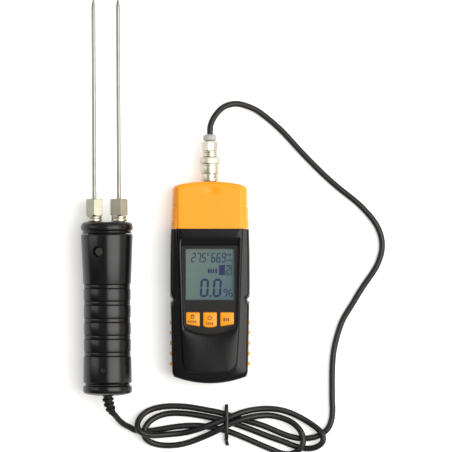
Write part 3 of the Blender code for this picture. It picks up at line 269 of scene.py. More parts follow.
def build_skin():
    """Mottle: slow noise times Variation mixes Colour with Dark. Skin: fine noise is the Height, and its
    distance from one half, times Spread, is added to Roughness."""
    group, given, result = new_group(
        "moulded_skin",
        [("Position", "vector"), ("Colour", "colour"), ("Dark", "colour"), ("Variation", "value"),
         ("Grain", "value"), ("Roughness", "value"), ("Spread", "value")],
        [("Colour", "colour"), ("Roughness", "value"), ("Height", "value")])
    links = group.links
    slow = add_node(group, "ShaderNodeTexNoise", Scale=45.0, Detail=3.0)
    fine = add_node(group, "ShaderNodeTexNoise", Detail=2.0)
    links.new(given.outputs["Position"], slow.inputs["Vector"])
    links.new(given.outputs["Position"], fine.inputs["Vector"])
    links.new(given.outputs["Grain"], fine.inputs["Scale"])
    share = add_node(group, "ShaderNodeMath", operation="MULTIPLY")
    links.new(slow.outputs["Fac"], share.inputs[0])
    links.new(given.outputs["Variation"], share.inputs[1])
    blend = add_node(group, "ShaderNodeMix", data_type="RGBA")
    links.new(share.outputs[0], blend.inputs[0])
    links.new(given.outputs["Colour"], blend.inputs[6])
    links.new(given.outputs["Dark"], blend.inputs[7])
    links.new(blend.outputs[2], result.inputs["Colour"])
    centred = add_node(group, "ShaderNodeMath", operation="SUBTRACT")
    centred.inputs[1].default_value = 0.5
    links.new(fine.outputs["Fac"], centred.inputs[0])
    scaled = add_node(group, "ShaderNodeMath", operation="MULTIPLY_ADD")
    links.new(centred.outputs[0], scaled.inputs[0])
    links.new(given.outputs["Spread"], scaled.inputs[1])
    links.new(given.outputs["Roughness"], scaled.inputs[2])
    links.new(scaled.outputs[0], result.inputs["Roughness"])
    links.new(fine.outputs["Fac"], result.inputs["Height"])
    return group


SKIN = build_skin()


def grouped_material(name, group, values, bump, depth):
    """A material whose group reads Object coordinates and feeds colour, roughness and a bump."""
    made, tree, shader = new_material(name)
    place = tree.nodes.new("ShaderNodeTexCoord")
    effect = add_node(tree, "ShaderNodeGroup", node_tree=group)
    tree.links.new(place.outputs["Object"], effect.inputs["Position"])
    for label, value in values.items():
        effect.inputs[label].default_value = value
    bumped = add_node(tree, "ShaderNodeBump", Strength=bump, Distance=depth)
    tree.links.new(effect.outputs["Height"], bumped.inputs["Height"])
    tree.links.new(effect.outputs["Colour"], shader.inputs["Base Color"])
    tree.links.new(effect.outputs["Roughness"], shader.inputs["Roughness"])
    tree.links.new(bumped.outputs["Normal"], shader.inputs["Normal"])
    return made, shader


def plastic(name, colour, dark, roughness, variation=0.6, grain=2600.0, spread=0.12, bump=0.04, specular=0.5):
    """Moulded plastic: the skin group, with its mottle running from colour to dark."""
    made, shader = grouped_material(name, SKIN, {
        "Colour": (*colour, 1), "Dark": (*dark, 1), "Variation": variation, "Grain": grain,
        "Roughness": roughness, "Spread": spread}, bump, 0.0001)
    shader.inputs["Specular IOR Level"].default_value = specular
    return made


def paint(piece, *materials):
    """Give a piece or a carried-over CAD object these materials in place of its own."""
    piece.data.materials.clear()
    for material in materials:
        piece.data.materials.append(material)
    return piece


lead_rubber = plastic("lead_rubber", (0.005, 0.005, 0.0055), (0.010, 0.010, 0.0105), 0.40, grain=900.0,
                      spread=0.2, bump=0.12, specular=0.35)
lead_path = smooth_path(np.array(RUN_POINTS + HANK_POINTS + TAIL_POINTS) / 1000, 0.0016)
lead = sweep("lead", lead_path, LEAD_DIAMETER / 2, sides=16)
paint(lead, lead_rubber)
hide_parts("cable_run", "cable_hank", "cable_tail")
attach(lead, "root")


# ------------------------------------------------------------------ the lead's tie
# A short black tie of soft wire in plastic, bent over the crossing of the figure-eight and twisted
# together at its lower side, where its two ends stand out.
TIE_X = 0.0124
TIE_Y, TIE_HALF_Y = -0.1090, 0.0139
TIE_Z, TIE_HALF_Z = 0.0059, 0.0052
TIE_POWER = 0.62


def squared(value, power):
    """A sine or cosine with its sign kept and its size raised to a power; below 1, a circle turns squarer."""
    return np.sign(value) * np.abs(value) ** power


def recalculate(piece):
    """Turn every face outwards after near-equal points are merged."""
    shape = bmesh.new()
    shape.from_mesh(piece.data)
    bmesh.ops.remove_doubles(shape, verts=shape.verts, dist=2e-6)
    bmesh.ops.dissolve_degenerate(shape, edges=shape.edges, dist=1e-7)
    bmesh.ops.recalc_face_normals(shape, faces=shape.faces)
    shape.to_mesh(piece.data)
    shape.free()
    return piece


def loft(name, rings, closed=False, sharp=40):
    """A solid through an array of rings x points; open ends are closed by a fan to each end ring's mean."""
    rings = np.asarray(rings, float)
    count, sides = rings.shape[:2]
    points = rings.reshape(-1, 3)
    turn = np.arange(sides)
    following = (turn + 1) % sides
    if closed:
        points = np.concatenate([points, rings[0]])
        faces = grid_quads(count + 1, sides, closed=True).tolist()
    else:
        points = np.concatenate([points, rings[:1].mean(1), rings[-1:].mean(1)])
        faces = grid_quads(count, sides, closed=True).tolist()
        centre, base = count * sides, (count - 1) * sides
        faces += np.stack([np.full(sides, centre), following, turn], -1).tolist()
        faces += np.stack([np.full(sides, centre + 1), base + turn, base + following], -1).tolist()
    piece = recalculate(surface(name, points, faces))
    piece.data.polygons.foreach_set("use_smooth", np.full(len(piece.data.polygons), True))
    piece.data.set_sharp_from_angle(angle=radians(sharp))
    return piece


def ribbon(name, path, width, thick):
    """A band along a path: a ring of 12 points, a squared oval of that width along X, whose thickness
    stands square to X and to the path."""
    along = np.gradient(path, axis=0)
    along /= np.linalg.norm(along, axis=1)[:, None]
    side = np.broadcast_to(np.array((1.0, 0.0, 0.0)), path.shape)
    up = np.cross(side, along)
    up /= np.linalg.norm(up, axis=1)[:, None]
    angle = 2 * pi * np.arange(12) / 12
    flat = squared(np.cos(angle), 0.75) * width / 2
    high = squared(np.sin(angle), 0.75) * thick / 2
    points = path[:, None] + flat[None, :, None] * side[:, None] + high[None, :, None] * up[:, None]
    return loft(name, points)


tie_angle = np.linspace(0.02 * pi, 1.98 * pi, 90)
tie_path = np.stack([TIE_X + 0.0006 * np.sin(tie_angle / 2),
                     TIE_Y + TIE_HALF_Y * squared(np.cos(tie_angle - pi / 2), TIE_POWER),
                     TIE_Z + TIE_HALF_Z * squared(np.sin(tie_angle - pi / 2), TIE_POWER)], 1)
tie = ribbon("lead_tie", tie_path, 0.0026, 0.0011)
tie_plastic = plastic("tie_plastic", (0.005, 0.005, 0.0055), (0.010, 0.010, 0.0105), 0.34, grain=1500.0,
                      specular=0.35)
paint(tie, tie_plastic)
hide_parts("cable_tie")
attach(tie, "root")

twist_turn = np.linspace(0, 3 * pi, 60)
for end, sign in (("a", 1), ("b", -1)):
    twist_path = np.stack([
        TIE_X + 0.0010 * np.cos(twist_turn) * sign + 0.0012 * twist_turn / twist_turn[-1],
        TIE_Y - TIE_HALF_Y + 0.0006 - 0.0046 * twist_turn / twist_turn[-1],
        0.0022 + 0.0010 * np.sin(twist_turn) * sign + 0.0006 * twist_turn / twist_turn[-1],
    ], 1)
    twist = sweep(f"lead_tie_end_{end}", twist_path, 0.0006, sides=10)
    recalculate(twist)
    paint(twist, tie_plastic)
    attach(twist, "root")


# ------------------------------------------------------------------ strain relief on the probe
# A black rubber boot moulded on the lead where it goes into the handle. It tapers and has ring grooves,
# so that it bends towards the table in an even curve.
probe_end_low, probe_end_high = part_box("handle_end")
HANDLE_HEIGHT = (probe_end_low.z + probe_end_high.z) / 2
boot_start = np.array((-0.07914, probe_end_low.y + 0.0006, HANDLE_HEIGHT))
boot_bend = boot_start + (0.0002, -0.0075, -0.0004)
boot_finish = np.array((-0.0755, -0.1010, 0.0157))
boot_share = np.linspace(0, 1, 121)
boot_path = (boot_start * (1 - boot_share[:, None]) ** 2
             + boot_bend * 2 * (boot_share * (1 - boot_share))[:, None]
             + boot_finish * boot_share[:, None] ** 2)
boot_taper = np.interp(boot_share, [0, 0.15, 0.9, 1.0], [1.0, 0.98, 0.80, 0.66])
boot_ribs = 0.13 * np.clip(np.cos(2 * pi * boot_share * 4.0) * 2.2, -1, 1)
boot_radius = 0.0043 * (boot_taper + boot_ribs * (boot_share < 0.93) - 0.05)
boot = sweep("lead_boot", boot_path, boot_radius, sides=40)
recalculate(boot)
boot_rubber = plastic("boot_rubber", (0.005, 0.005, 0.0055), (0.010, 0.010, 0.010), 0.46, grain=1200.0,
                      bump=0.1, specular=0.3)
paint(boot, boot_rubber)
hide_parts("strain_relief")
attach(boot, "root")


# ------------------------------------------------------------------ bayonet plug: sleeve, body, nut, cone
# Nickel-plated brass, turned. The sleeve turns a quarter round the body and locks the plug on to the
# socket's two lugs. Behind it are the body's head, the clamp nut, and a grey ring where the lead goes in.
CAP_TOP = 0.0782
PLUG_HEIGHT = 0.0137


def lathe(name, profile, sides=96, centre=(0.0, 0.0, 0.0), lean=0.0, wave=0.0, waves=0, sharp=34):
    """Points at radius r and place y turned about an axis along Y: x = r sin a, z = r cos a. wave adds a
    ripple of waves teeth to the radius on rows whose third value is 1. lean turns the axis about Z."""
    rows = np.asarray([(*row, 0.0)[:3] if len(row) < 3 else row for row in profile], float)
    angle = 2 * pi * np.arange(sides) / sides
    ripple = 1 + wave * np.sign(np.cos(waves * angle))[None, :] * rows[:, 2:3]
    radius = rows[:, :1] * ripple
    x, y = radius * np.sin(angle), np.broadcast_to(rows[:, 1:2], radius.shape)
    z = radius * np.cos(angle)
    leant = np.stack([x * cos(lean) - y * sin(lean), x * sin(lean) + y * cos(lean), z], -1)
    return loft(name, leant + centre, closed=profile[0][0] > 0 and profile[-1][0] > 0, sharp=sharp)


def build_turning():
    """Fine tool lines: noise at Position times Stretch is the Height and, times Spread, is added to
    Roughness. A second, slow noise mixes Colour with Tarnish."""
    group, given, result = new_group(
        "turning_lines",
        [("Position", "vector"), ("Stretch", "vector"), ("Colour", "colour"), ("Tarnish", "colour"),
         ("Roughness", "value"), ("Spread", "value")],
        [("Colour", "colour"), ("Roughness", "value"), ("Height", "value")])
    links = group.links
    stretched = add_node(group, "ShaderNodeVectorMath", operation="MULTIPLY")
    links.new(given.outputs["Position"], stretched.inputs[0])
    links.new(given.outputs["Stretch"], stretched.inputs[1])
    lines = add_node(group, "ShaderNodeTexNoise", Scale=1.0, Detail=3.0)
    links.new(stretched.outputs[0], lines.inputs["Vector"])
    smudge = add_node(group, "ShaderNodeTexNoise", Scale=160.0, Detail=4.0)
    links.new(given.outputs["Position"], smudge.inputs["Vector"])
    blend = add_node(group, "ShaderNodeMix", data_type="RGBA")
    links.new(smudge.outputs["Fac"], blend.inputs[0])
    links.new(given.outputs["Colour"], blend.inputs[6])
    links.new(given.outputs["Tarnish"], blend.inputs[7])
    links.new(blend.outputs[2], result.inputs["Colour"])
    scaled = add_node(group, "ShaderNodeMath", operation="MULTIPLY_ADD")
    links.new(lines.outputs["Fac"], scaled.inputs[0])
    links.new(given.outputs["Spread"], scaled.inputs[1])
    links.new(given.outputs["Roughness"], scaled.inputs[2])
    links.new(scaled.outputs[0], result.inputs["Roughness"])
    links.new(lines.outputs["Fac"], result.inputs["Height"])
    return group


TURNING = build_turning()


def metal(name, colour, tarnish, roughness, stretch=(300.0, 9000.0, 300.0), spread=0.16, bump=0.06):
    """Turned or drawn metal, with its fine lines along the directions that stretch makes busy."""
    made, shader = grouped_material(name, TURNING, {
        "Stretch": stretch, "Colour": (*colour, 1), "Tarnish": (*tarnish, 1), "Roughness": roughness,
        "Spread": spread}, bump, 0.00005)
    shader.inputs["Metallic"].default_value = 1.0
    return made


def soften(profile, radius=0.00015, steps=3):
    """Round every corner of an open profile: each corner becomes a short quadratic curve."""
    given = np.asarray(profile, float)
    before, here, after = given[:-2], given[1:-1], given[2:]
    back, on = before - here, after - here
    back_length = np.linalg.norm(back[:, :2], axis=1)[:, None]
    on_length = np.linalg.norm(on[:, :2], axis=1)[:, None]
    first = here + back * np.minimum(radius / back_length, 0.45)
    last = here + on * np.minimum(radius / on_length, 0.45)
    share = np.linspace(0, 1, steps)[None, :, None]
    curve = (first[:, None] * (1 - share) ** 2 + here[:, None] * 2 * share * (1 - share)
             + last[:, None] * share ** 2)
    return np.concatenate([given[:1], curve.reshape(-1, given.shape[1]), given[-1:]])


def carve(piece, tool, operation="DIFFERENCE"):
    """Cut the tool's solid out of the piece, keep the result as its mesh, and throw the tool away."""
    change = piece.modifiers.new("carve", "BOOLEAN")
    change.operation = operation
    change.solver = "EXACT"
    change.object = tool
    depsgraph = bpy.context.evaluated_depsgraph_get()
    result = bpy.data.meshes.new_from_object(piece.evaluated_get(depsgraph))
    piece.modifiers.clear()
    old = piece.data
    piece.data = result
    bpy.data.meshes.remove(old)
    bpy.data.objects.remove(tool, do_unlink=True)
    result.polygons.foreach_set("use_smooth", np.full(len(result.polygons), True))
    result.set_sharp_from_angle(angle=radians(34))
    return piece


def post(name, radius, low, high, turn, place, centre_z):
    """A short round peg standing out from the Y axis at an angle from +Z towards +X, between two radii."""
    angle = 2 * pi * np.arange(32) / 32
    level = np.array([low, high])[:, None]
    x, y = radius * np.cos(angle)[None, :] + 0 * level, radius * np.sin(angle)[None, :] + 0 * level
    z = level + 0 * x
    turned_x, turned_z = x * cos(turn) + z * sin(turn), z * cos(turn) - x * sin(turn)
    return loft(name, np.stack([turned_x, place + y, turned_z + centre_z], -1))


NICKEL = metal("nickel_plate", (0.64, 0.61, 0.50), (0.52, 0.49, 0.39), 0.30)
STEEL = metal("drawn_steel", (0.34, 0.335, 0.305), (0.25, 0.245, 0.22), 0.32, stretch=(7000.0, 120.0, 7000.0))
WHITE_MOULDING = plastic("white_moulding", (0.80, 0.80, 0.76), (0.70, 0.69, 0.64), 0.5)
GOLD_FLASH = metal("gold_flash", (0.90, 0.66, 0.28), (0.75, 0.52, 0.20), 0.16)
AXIS = (0.0, CAP_TOP, PLUG_HEIGHT)
LUG_TURN = radians(27)
sleeve_profile = soften([
    (0.00505, 0.0004, 0), (0.0066, 0.0004, 0), (0.0066, 0.0060, 0), (0.0063, 0.0062, 0),
    (0.0063, 0.0065, 0), (0.00702, 0.0067, 0), (0.00702, 0.0124, 0), (0.0067, 0.0127, 0),
    (0.0067, 0.0137, 0), (0.00745, 0.0140, 1), (0.00755, 0.0150, 1), (0.00755, 0.0178, 1),
    (0.00740, 0.0187, 1), (0.00705, 0.0191, 0), (0.00475, 0.0191, 0), (0.00475, 0.0133, 0),
    (0.0059, 0.0133, 0), (0.0059, 0.0101, 0), (0.00505, 0.0101, 0), (0.00505, 0.0056, 0),
    (0.00597, 0.0056, 0), (0.00597, 0.0030, 0), (0.00505, 0.0030, 0)])
sleeve = lathe("coupling_sleeve", sleeve_profile, 160, AXIS, wave=0.010, waves=40)
for index in range(2):
    turn = LUG_TURN + index * pi
    carve(sleeve, post("detent_drill", 0.0016, 0.0046, 0.0090, turn, CAP_TOP + 0.0043, PLUG_HEIGHT))
    carve(sleeve, post("mouth_mill", 0.00125, 0.0040, 0.0059, turn - pi / 2, CAP_TOP + 0.0008, PLUG_HEIGHT))
paint(sleeve, NICKEL)
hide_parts("bayonet_sleeve")
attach(sleeve, "sleeve")

body_profile = soften([
    (0.0029, 0.0024), (0.0037, 0.0024), (0.0037, 0.0107), (0.0056, 0.0107), (0.0056, 0.0121),
    (0.0044, 0.0121), (0.0044, 0.0194), (0.0060, 0.0194), (0.0060, 0.0206), (0.00565, 0.0209),
    (0.00565, 0.0222), (0.0060, 0.0225), (0.0060, 0.0233), (0.0056, 0.0236), (0.0029, 0.0236)])
plug_head = lathe("coupling_body", body_profile, 96, AXIS)
paint(plug_head, NICKEL)
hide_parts("plug_body")
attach(plug_head, "root")


def flats(name, across, sides, low, high, bore, centre, turn=0.0, lean=0.0, chamfer=0.0007, columns=144):
    """A nut: radius = apothem / cos(angle from the nearest flat), held under a cone at both ends."""
    angle = 2 * pi * np.arange(columns) / columns
    sector = 2 * pi / sides
    nearest = (angle - turn + sector / 2) % sector - sector / 2
    apothem = across / 2 * cos(pi / sides)
    prism = apothem / np.cos(nearest)
    rise = np.concatenate([[0.0, 0.0], np.linspace(0, 1, 7)[1:] * chamfer])
    level = np.concatenate([low + rise, high - rise[::-1]])
    ease = np.concatenate([rise, rise[::-1]])
    limit = across / 2 - (chamfer - ease) * 1.3
    radius = np.minimum(prism[None, :], limit[:, None])
    radius[0], radius[-1] = bore, bore
    x, z = radius * np.sin(angle), radius * np.cos(angle)
    y = level[:, None] + 0 * x
    leant = np.stack([x * cos(lean) - y * sin(lean), x * sin(lean) + y * cos(lean), z], -1)
    return loft(name, leant + centre, closed=True, sharp=24)


clamp = flats("lead_clamp_nut", 0.0124, 8, 0.0239, 0.0310, 0.00275, AXIS, turn=0.10, chamfer=0.0005)
paint(clamp, NICKEL)
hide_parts("clamp_nut")
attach(clamp, "root")

grey_ring = plastic("lead_ring_plastic", (0.42, 0.42, 0.41), (0.33, 0.33, 0.32), 0.38, grain=1500.0)
cone = flats("lead_entry_ring", 0.0106, 12, 0.0313, 0.0365, 0.00275, AXIS, turn=0.0, chamfer=0.0012)
paint(cone, grey_ring)
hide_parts("cable_cone")
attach(cone, "root")

socket_profile = soften([
    (0.00405, 0.0097), (0.0048, 0.0097), (0.0048, -0.0033), (0.0066, -0.0033), (0.0066, -0.0050),
    (0.0048, -0.0050), (0.0048, -0.0085), (0.0028, -0.0085), (0.0028, 0.0008), (0.00405, 0.0008)])
socket = lathe("panel_socket", socket_profile, 72, AXIS)
for index in range(2):
    carve(socket, post("lug", 0.0010, 0.0044, 0.00575, LUG_TURN + index * pi, CAP_TOP + 0.0043, PLUG_HEIGHT),
          "UNION")
paint(socket, NICKEL)
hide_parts("probe_jack")
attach(socket, "root")
for node, finish in (("jack_ring", NICKEL), ("jack_insulator", WHITE_MOULDING), ("jack_contact", GOLD_FLASH),
                     ("plug_insulator", WHITE_MOULDING), ("plug_pin", GOLD_FLASH), ("spring_washer", STEEL)):
    paint(nodes[node], finish)
lead_red = plastic("lead_red_sleeving", (0.50, 0.03, 0.02), (0.38, 0.02, 0.02), 0.42, grain=1500.0)
paint(nodes["jack_lead"], lead_red)


# ------------------------------------------------------------------ front shell
# The front half of the hand unit's body, injection moulded in glossy black plastic and screwed on from the
# back. A raised tongue runs down its middle and holds the sunk panel; finger notches cut into both sides.
CASE_HALF = 0.031
SEAM = 0.0132
FRONT = 0.0270
CASE_END = -0.0782
CAP_SEAM = 0.0418
NOTCH = -0.0132
CENTRE = np.array((0.0, -0.018))


def rounded_line(points, radii, steps=8):
    """A closed outline whose corners are quadratic curves starting radius away from each corner."""
    given = np.asarray(points, float)
    radius = np.asarray(radii, float)[:, None]
    back, on = np.roll(given, 1, 0) - given, np.roll(given, -1, 0) - given
    first = given + back / np.linalg.norm(back, axis=1)[:, None] * radius
    last = given + on / np.linalg.norm(on, axis=1)[:, None] * radius
    share = np.linspace(0, 1, steps)[None, :, None]
    curve = (first[:, None] * (1 - share) ** 2 + given[:, None] * 2 * share * (1 - share)
             + last[:, None] * share ** 2)
    return curve.reshape(-1, 2)


def both_sides(points):
    """Right-hand points (x, y, corner radius), from top to bottom, then their mirror image going back up."""
    right = np.asarray(points, float)
    left = right[::-1][right[::-1, 0] > 1e-7] * (-1, 1, 1)
    joined = np.concatenate([right, left])
    return rounded_line(joined[:, :2], joined[:, 2])


def star(outline, angles, centre=CENTRE):
    """The outline seen from its centre: its distance at each angle, read along its own edges."""
    offset = outline - centre
    turn = np.arctan2(offset[:, 1], offset[:, 0])
    order = np.argsort(turn)
    turn, offset = turn[order], offset[order]
    turn = np.concatenate([turn[-1:] - 2 * pi, turn, turn[:1] + 2 * pi])
    offset = np.concatenate([offset[-1:], offset, offset[:1]])
    span = np.clip(np.searchsorted(turn, angles, side="right") - 1, 0, len(turn) - 2)
    first, edge = offset[span], offset[span + 1] - offset[span]
    way = np.stack([np.cos(angles), np.sin(angles)], 1)
    distance = (first[:, 0] * edge[:, 1] - first[:, 1] * edge[:, 0]) / (
        way[:, 0] * edge[:, 1] - way[:, 1] * edge[:, 0])
    return way * distance[:, None] + centre


def end_arc(half, end, rise):
    """Points (x, y, corner radius) of the arched lower end, from its right corner to the middle."""
    radius = (half * half + rise * rise) / (2 * rise)
    angle = np.linspace(np.arctan2(half, radius - rise), 0, 9)
    return [(radius * np.sin(a), end + radius - radius * np.cos(a), 0.0004) for a in angle]


def case_line(inset):
    """Outline of the shells, moved inwards by inset at the sides and the lower end."""
    half, end = CASE_HALF - inset, CASE_END + inset
    side = [(half - 0.0006, CAP_SEAM - 0.0003, 0.0001), (half - 0.0001, CAP_SEAM - 0.020, 0.002),
            (half, NOTCH + 0.0085, 0.0012), (half - 0.0002, NOTCH + 0.0038, 0.0012),
            (half - 0.0021, NOTCH + 0.0008, 0.0009), (half - 0.0021, NOTCH - 0.0008, 0.0009),
            (half - 0.0003, NOTCH - 0.0040, 0.0014), (half - 0.0007, NOTCH - 0.020, 0.003),
            (half - 0.0010, end + 0.022, 0.003), (half - 0.0015, end + 0.0078, 0.0022)]
    return both_sides(side + end_arc(half - 0.0029, end, 0.0052))


def tongue_line(grow):
    """Outline of the raised middle of the front."""
    half = 0.0247 + grow
    return both_sides([(half, CAP_SEAM - 0.0003, 0.0001), (half - 0.0006, 0.030, 0.003),
                       (half - 0.0028, -0.034, 0.006), (half - 0.0046, -0.0625 - grow, 0.0035),
                       (half - 0.0080, -0.0682 - grow, 0.0030), (0.0, -0.0697 - grow, 0.004)])


def recess_line(grow):
    """Outline of the sunk panel's edge, moved outwards by grow."""
    top = 0.0290 + grow * 0.4
    low = [(x, y, 0.0003) for x, y, _ in end_arc(0.0196 + grow, -0.0404 - grow, 0.0052)]
    return both_sides([(0.0222 + grow, top, 0.0008), (0.0206 + grow, -0.0318, 0.0022)] + low)


front_turn = np.linspace(-pi, pi, 720, endpoint=False)
front_levels = [(0.0, SEAM), (0.0, SEAM + 0.0030), (0.0001, SEAM + 0.0055), (0.0002, 0.0212),
                (0.0004, 0.0224), (0.0008, 0.0234), (0.0014, 0.02415), (0.0022, 0.0247), (0.0034, 0.0250)]


def at_height(line, height):
    """An outline of (x, y) with the same z at every point."""
    return np.concatenate([line, np.full((len(line), 1), height)], 1)


def lifted(line, height):
    """An outline read at the shell's angles, at one height."""
    return at_height(star(line, front_turn), height)


front_rings = [lifted(case_line(inset), height) for inset, height in front_levels]
front_rings += [lifted(tongue_line(grow), height) for grow, height in
                ((0.0012, 0.0254), (0.0009, 0.0256), (0.0006, 0.0261), (0.0002, 0.0267), (-0.0002, 0.02695),
                 (-0.0006, FRONT))]
recess_floor = 0.0248
upper = lifted(recess_line(0.0014), FRONT)
bevel = lifted(recess_line(0.0003), FRONT - 0.00040)
for line, lift in ((upper, 0.0054), (bevel, 0.0048)):
    line[:, 1] += lift * np.clip((line[:, 1] - 0.022) / 0.0075, 0, 1)
floor_line = lifted(recess_line(0.0), recess_floor)
inner_rings = [upper, upper * 0.9 + bevel * 0.1, bevel * 0.9 + upper * 0.1, bevel]
inner_rings += [bevel + (floor_line - bevel) * share for share in (0.06, 0.5, 0.94, 1.0)]
front_rings += inner_rings
front_shell = loft("front_shell", front_rings, sharp=28)


def slab(name, line, low, high):
    """An outline of (x, y) made a solid between two heights."""
    return loft(name, [at_height(line, low), at_height(line, high)])


def frame_line(half_x, low, high, radius):
    """A rectangle centred on x = 0, from low to high in y, with rounded corners."""
    corners = [(half_x, high), (half_x, low), (-half_x, low), (-half_x, high)]
    return rounded_line(corners, [radius] * 4)


WINDOW_X, WINDOW_LOW, WINDOW_HIGH = 0.01865, -0.0133, 0.0261


def window_line(grow, radius):
    """The window's rectangle, moved outwards by grow."""
    return frame_line(WINDOW_X + grow, WINDOW_LOW - grow, WINDOW_HIGH + grow, radius)


CUT_LOW, CUT_HIGH = 0.015, 0.030         # a cut between these heights goes right through the front
cavity_line = frame_line(0.0270, CASE_END + 0.0095, CAP_SEAM - 0.0030, 0.003)
carve(front_shell, slab("cavity", cavity_line, 0.010, 0.0225))
carve(front_shell, slab("window", window_line(0.0011, 0.0019), CUT_LOW, CUT_HIGH))

KEY_PITCH, KEY_HALF, KEY_HIGH, KEY_LOW, KEY_SLOPE = 0.0132, 0.0053, -0.0229, -0.0320, 0.0018
KEY_ROOM = 0.0005


def key_line(column, grow=0.0, radius=0.0011):
    """A key's outline: square above; its lower edge falls towards the middle key, or bows on that one."""
    half, high, low = KEY_HALF + grow, KEY_HIGH + grow, KEY_LOW - grow
    if column == 0:
        corners = [(half, high), (half, low - KEY_SLOPE * 0.8), (half * 0.45, low - KEY_SLOPE - 0.0007),
                   (-half * 0.45, low - KEY_SLOPE - 0.0007), (-half, low - KEY_SLOPE * 0.8), (-half, high)]
        radii = [radius, radius, 0.0015, 0.0015, radius, radius]
    else:
        corners = [(half, high), (half, low - (KEY_SLOPE if column < 0 else 0)),
                   (-half, low - (KEY_SLOPE if column > 0 else 0)), (-half, high)]
        radii = [radius] * 4
    return rounded_line(corners, radii) + (column * KEY_PITCH, 0.0)


for column in (-1, 0, 1):
    carve(front_shell, slab("key_hole", key_line(column, KEY_ROOM), CUT_LOW, CUT_HIGH))
GRIP_PLACES = -0.0308 - 0.0080 * np.arange(5)
for side in (-1, 1):
    for place in GRIP_PLACES:
        gap = rounded_line([(side * 0.0262, place + 0.0017), (side * 0.0330, place + 0.0017),
                            (side * 0.0330, place - 0.0017), (side * 0.0262, place - 0.0017)], [0.0004] * 4)
        carve(front_shell, slab("grip_slot", gap, SEAM + 0.0013, SEAM + 0.0079))

case_black = plastic("case_black", (0.0030, 0.0028, 0.0032), (0.0055, 0.0052, 0.0056), 0.20, variation=0.8,
                     grain=3200.0, spread=0.08, bump=0.05, specular=0.22)
paint(front_shell, case_black)
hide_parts("front_case")
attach(front_shell, "root")
back_black = plastic("back_black", (0.007, 0.007, 0.0075), (0.013, 0.013, 0.0135), 0.42, variation=0.8,
                     grain=1500.0, spread=0.16, bump=0.25, specular=0.3)
paint(nodes["back_case"], back_black)
for index in range(4):
    paint(nodes[f"case_screw_{index + 1}"], STEEL)


# ------------------------------------------------------------------ panel
# A dark grey moulded panel lies in the recess and frames the window and the keys. Its edge stands a
# little proud as a thin rounded rim.
PANEL_FACE = 0.0253
panel_rings = [lifted(recess_line(-0.0004), 0.0249)]
for grow, height in ((-0.0003, 0.0253), (-0.0003, 0.02555), (-0.0005, 0.0257), (-0.0008, 0.0257),
                     (-0.0011, 0.02555), (-0.0014, 0.0253), (-0.0020, PANEL_FACE)):
    panel_rings.append(lifted(recess_line(grow), height))
panel = loft("front_plate", panel_rings, sharp=50)
carve(panel, slab("window", window_line(0.0009, 0.0018), CUT_LOW, CUT_HIGH))
for column in (-1, 0, 1):
    carve(panel, slab("key_hole", key_line(column, KEY_ROOM), CUT_LOW, CUT_HIGH))
panel_grey = plastic("panel_grey", (0.009, 0.0085, 0.0082), (0.016, 0.0155, 0.0150), 0.34, variation=0.7,
                     grain=2400.0, spread=0.12, bump=0.10, specular=0.16)
paint(panel, panel_grey)
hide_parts("front_panel")
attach(panel, "root")


# ------------------------------------------------------------------ display
# A liquid-crystal panel under a clear window. Its face is grey-green and bluer towards its edges, and
# carries dark seven-segment figures: two small rows of three, one large reading, and small marks.
def lcd_colour():
    """Grey-green in the upper left, teal towards the right and lower edges, with soft uneven patches."""
    made, tree, shader = new_material("lcd_face")
    place = tree.nodes.new("ShaderNodeTexCoord")
    split = tree.nodes.new("ShaderNodeSeparateXYZ")
    tree.links.new(place.outputs["Object"], split.inputs[0])
    across = add_node(tree, "ShaderNodeMapRange", From_Min=-0.0187, From_Max=0.0187)
    down = add_node(tree, "ShaderNodeMapRange", From_Min=0.020, From_Max=-0.0135)
    tree.links.new(split.outputs["X"], across.inputs["Value"])
    tree.links.new(split.outputs["Y"], down.inputs["Value"])
    both = add_node(tree, "ShaderNodeMath", operation="MULTIPLY_ADD")
    both.inputs[1].default_value = 0.72
    tree.links.new(across.outputs[0], both.inputs[0])
    cloud = add_node(tree, "ShaderNodeTexNoise", Scale=75.0, Detail=2.0)
    tree.links.new(place.outputs["Object"], cloud.inputs["Vector"])
    drift = add_node(tree, "ShaderNodeMath", operation="MULTIPLY_ADD")
    drift.inputs[1].default_value = 0.35
    tree.links.new(cloud.outputs["Fac"], drift.inputs[0])
    shade = add_node(tree, "ShaderNodeMath", operation="MULTIPLY")
    shade.inputs[1].default_value = 0.30
    tree.links.new(down.outputs[0], shade.inputs[0])
    tree.links.new(shade.outputs[0], drift.inputs[2])
    tree.links.new(drift.outputs[0], both.inputs[2])
    ramp = tree.nodes.new("ShaderNodeValToRGB")
    first, last = ramp.color_ramp.elements
    first.position, first.color = 0.15, (0.085, 0.125, 0.098, 1)
    last.position, last.color = 1.15, (0.018, 0.072, 0.088, 1)
    middle = ramp.color_ramp.elements.new(0.62)
    middle.color = (0.048, 0.098, 0.090, 1)
    tree.links.new(both.outputs[0], ramp.inputs[0])
    tree.links.new(ramp.outputs[0], shader.inputs["Base Color"])
    tree.links.new(ramp.outputs[0], shader.inputs["Emission Color"])
    shader.inputs["Emission Strength"].default_value = 0.10
    shader.inputs["Roughness"].default_value = 0.35
    return made


LCD_TOP = 0.0222
lcd = slab("lcd_cell", frame_line(0.0216, -0.0152, 0.0279, 0.0006), 0.0195, LCD_TOP)
paint(lcd, lcd_colour())
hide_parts("lcd_panel")
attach(lcd, "root")

SEGMENTS = {"0": "abcdef", "2": "abged", "5": "afgcd", "6": "afgedc", "7": "abc", "9": "abcdfg"}


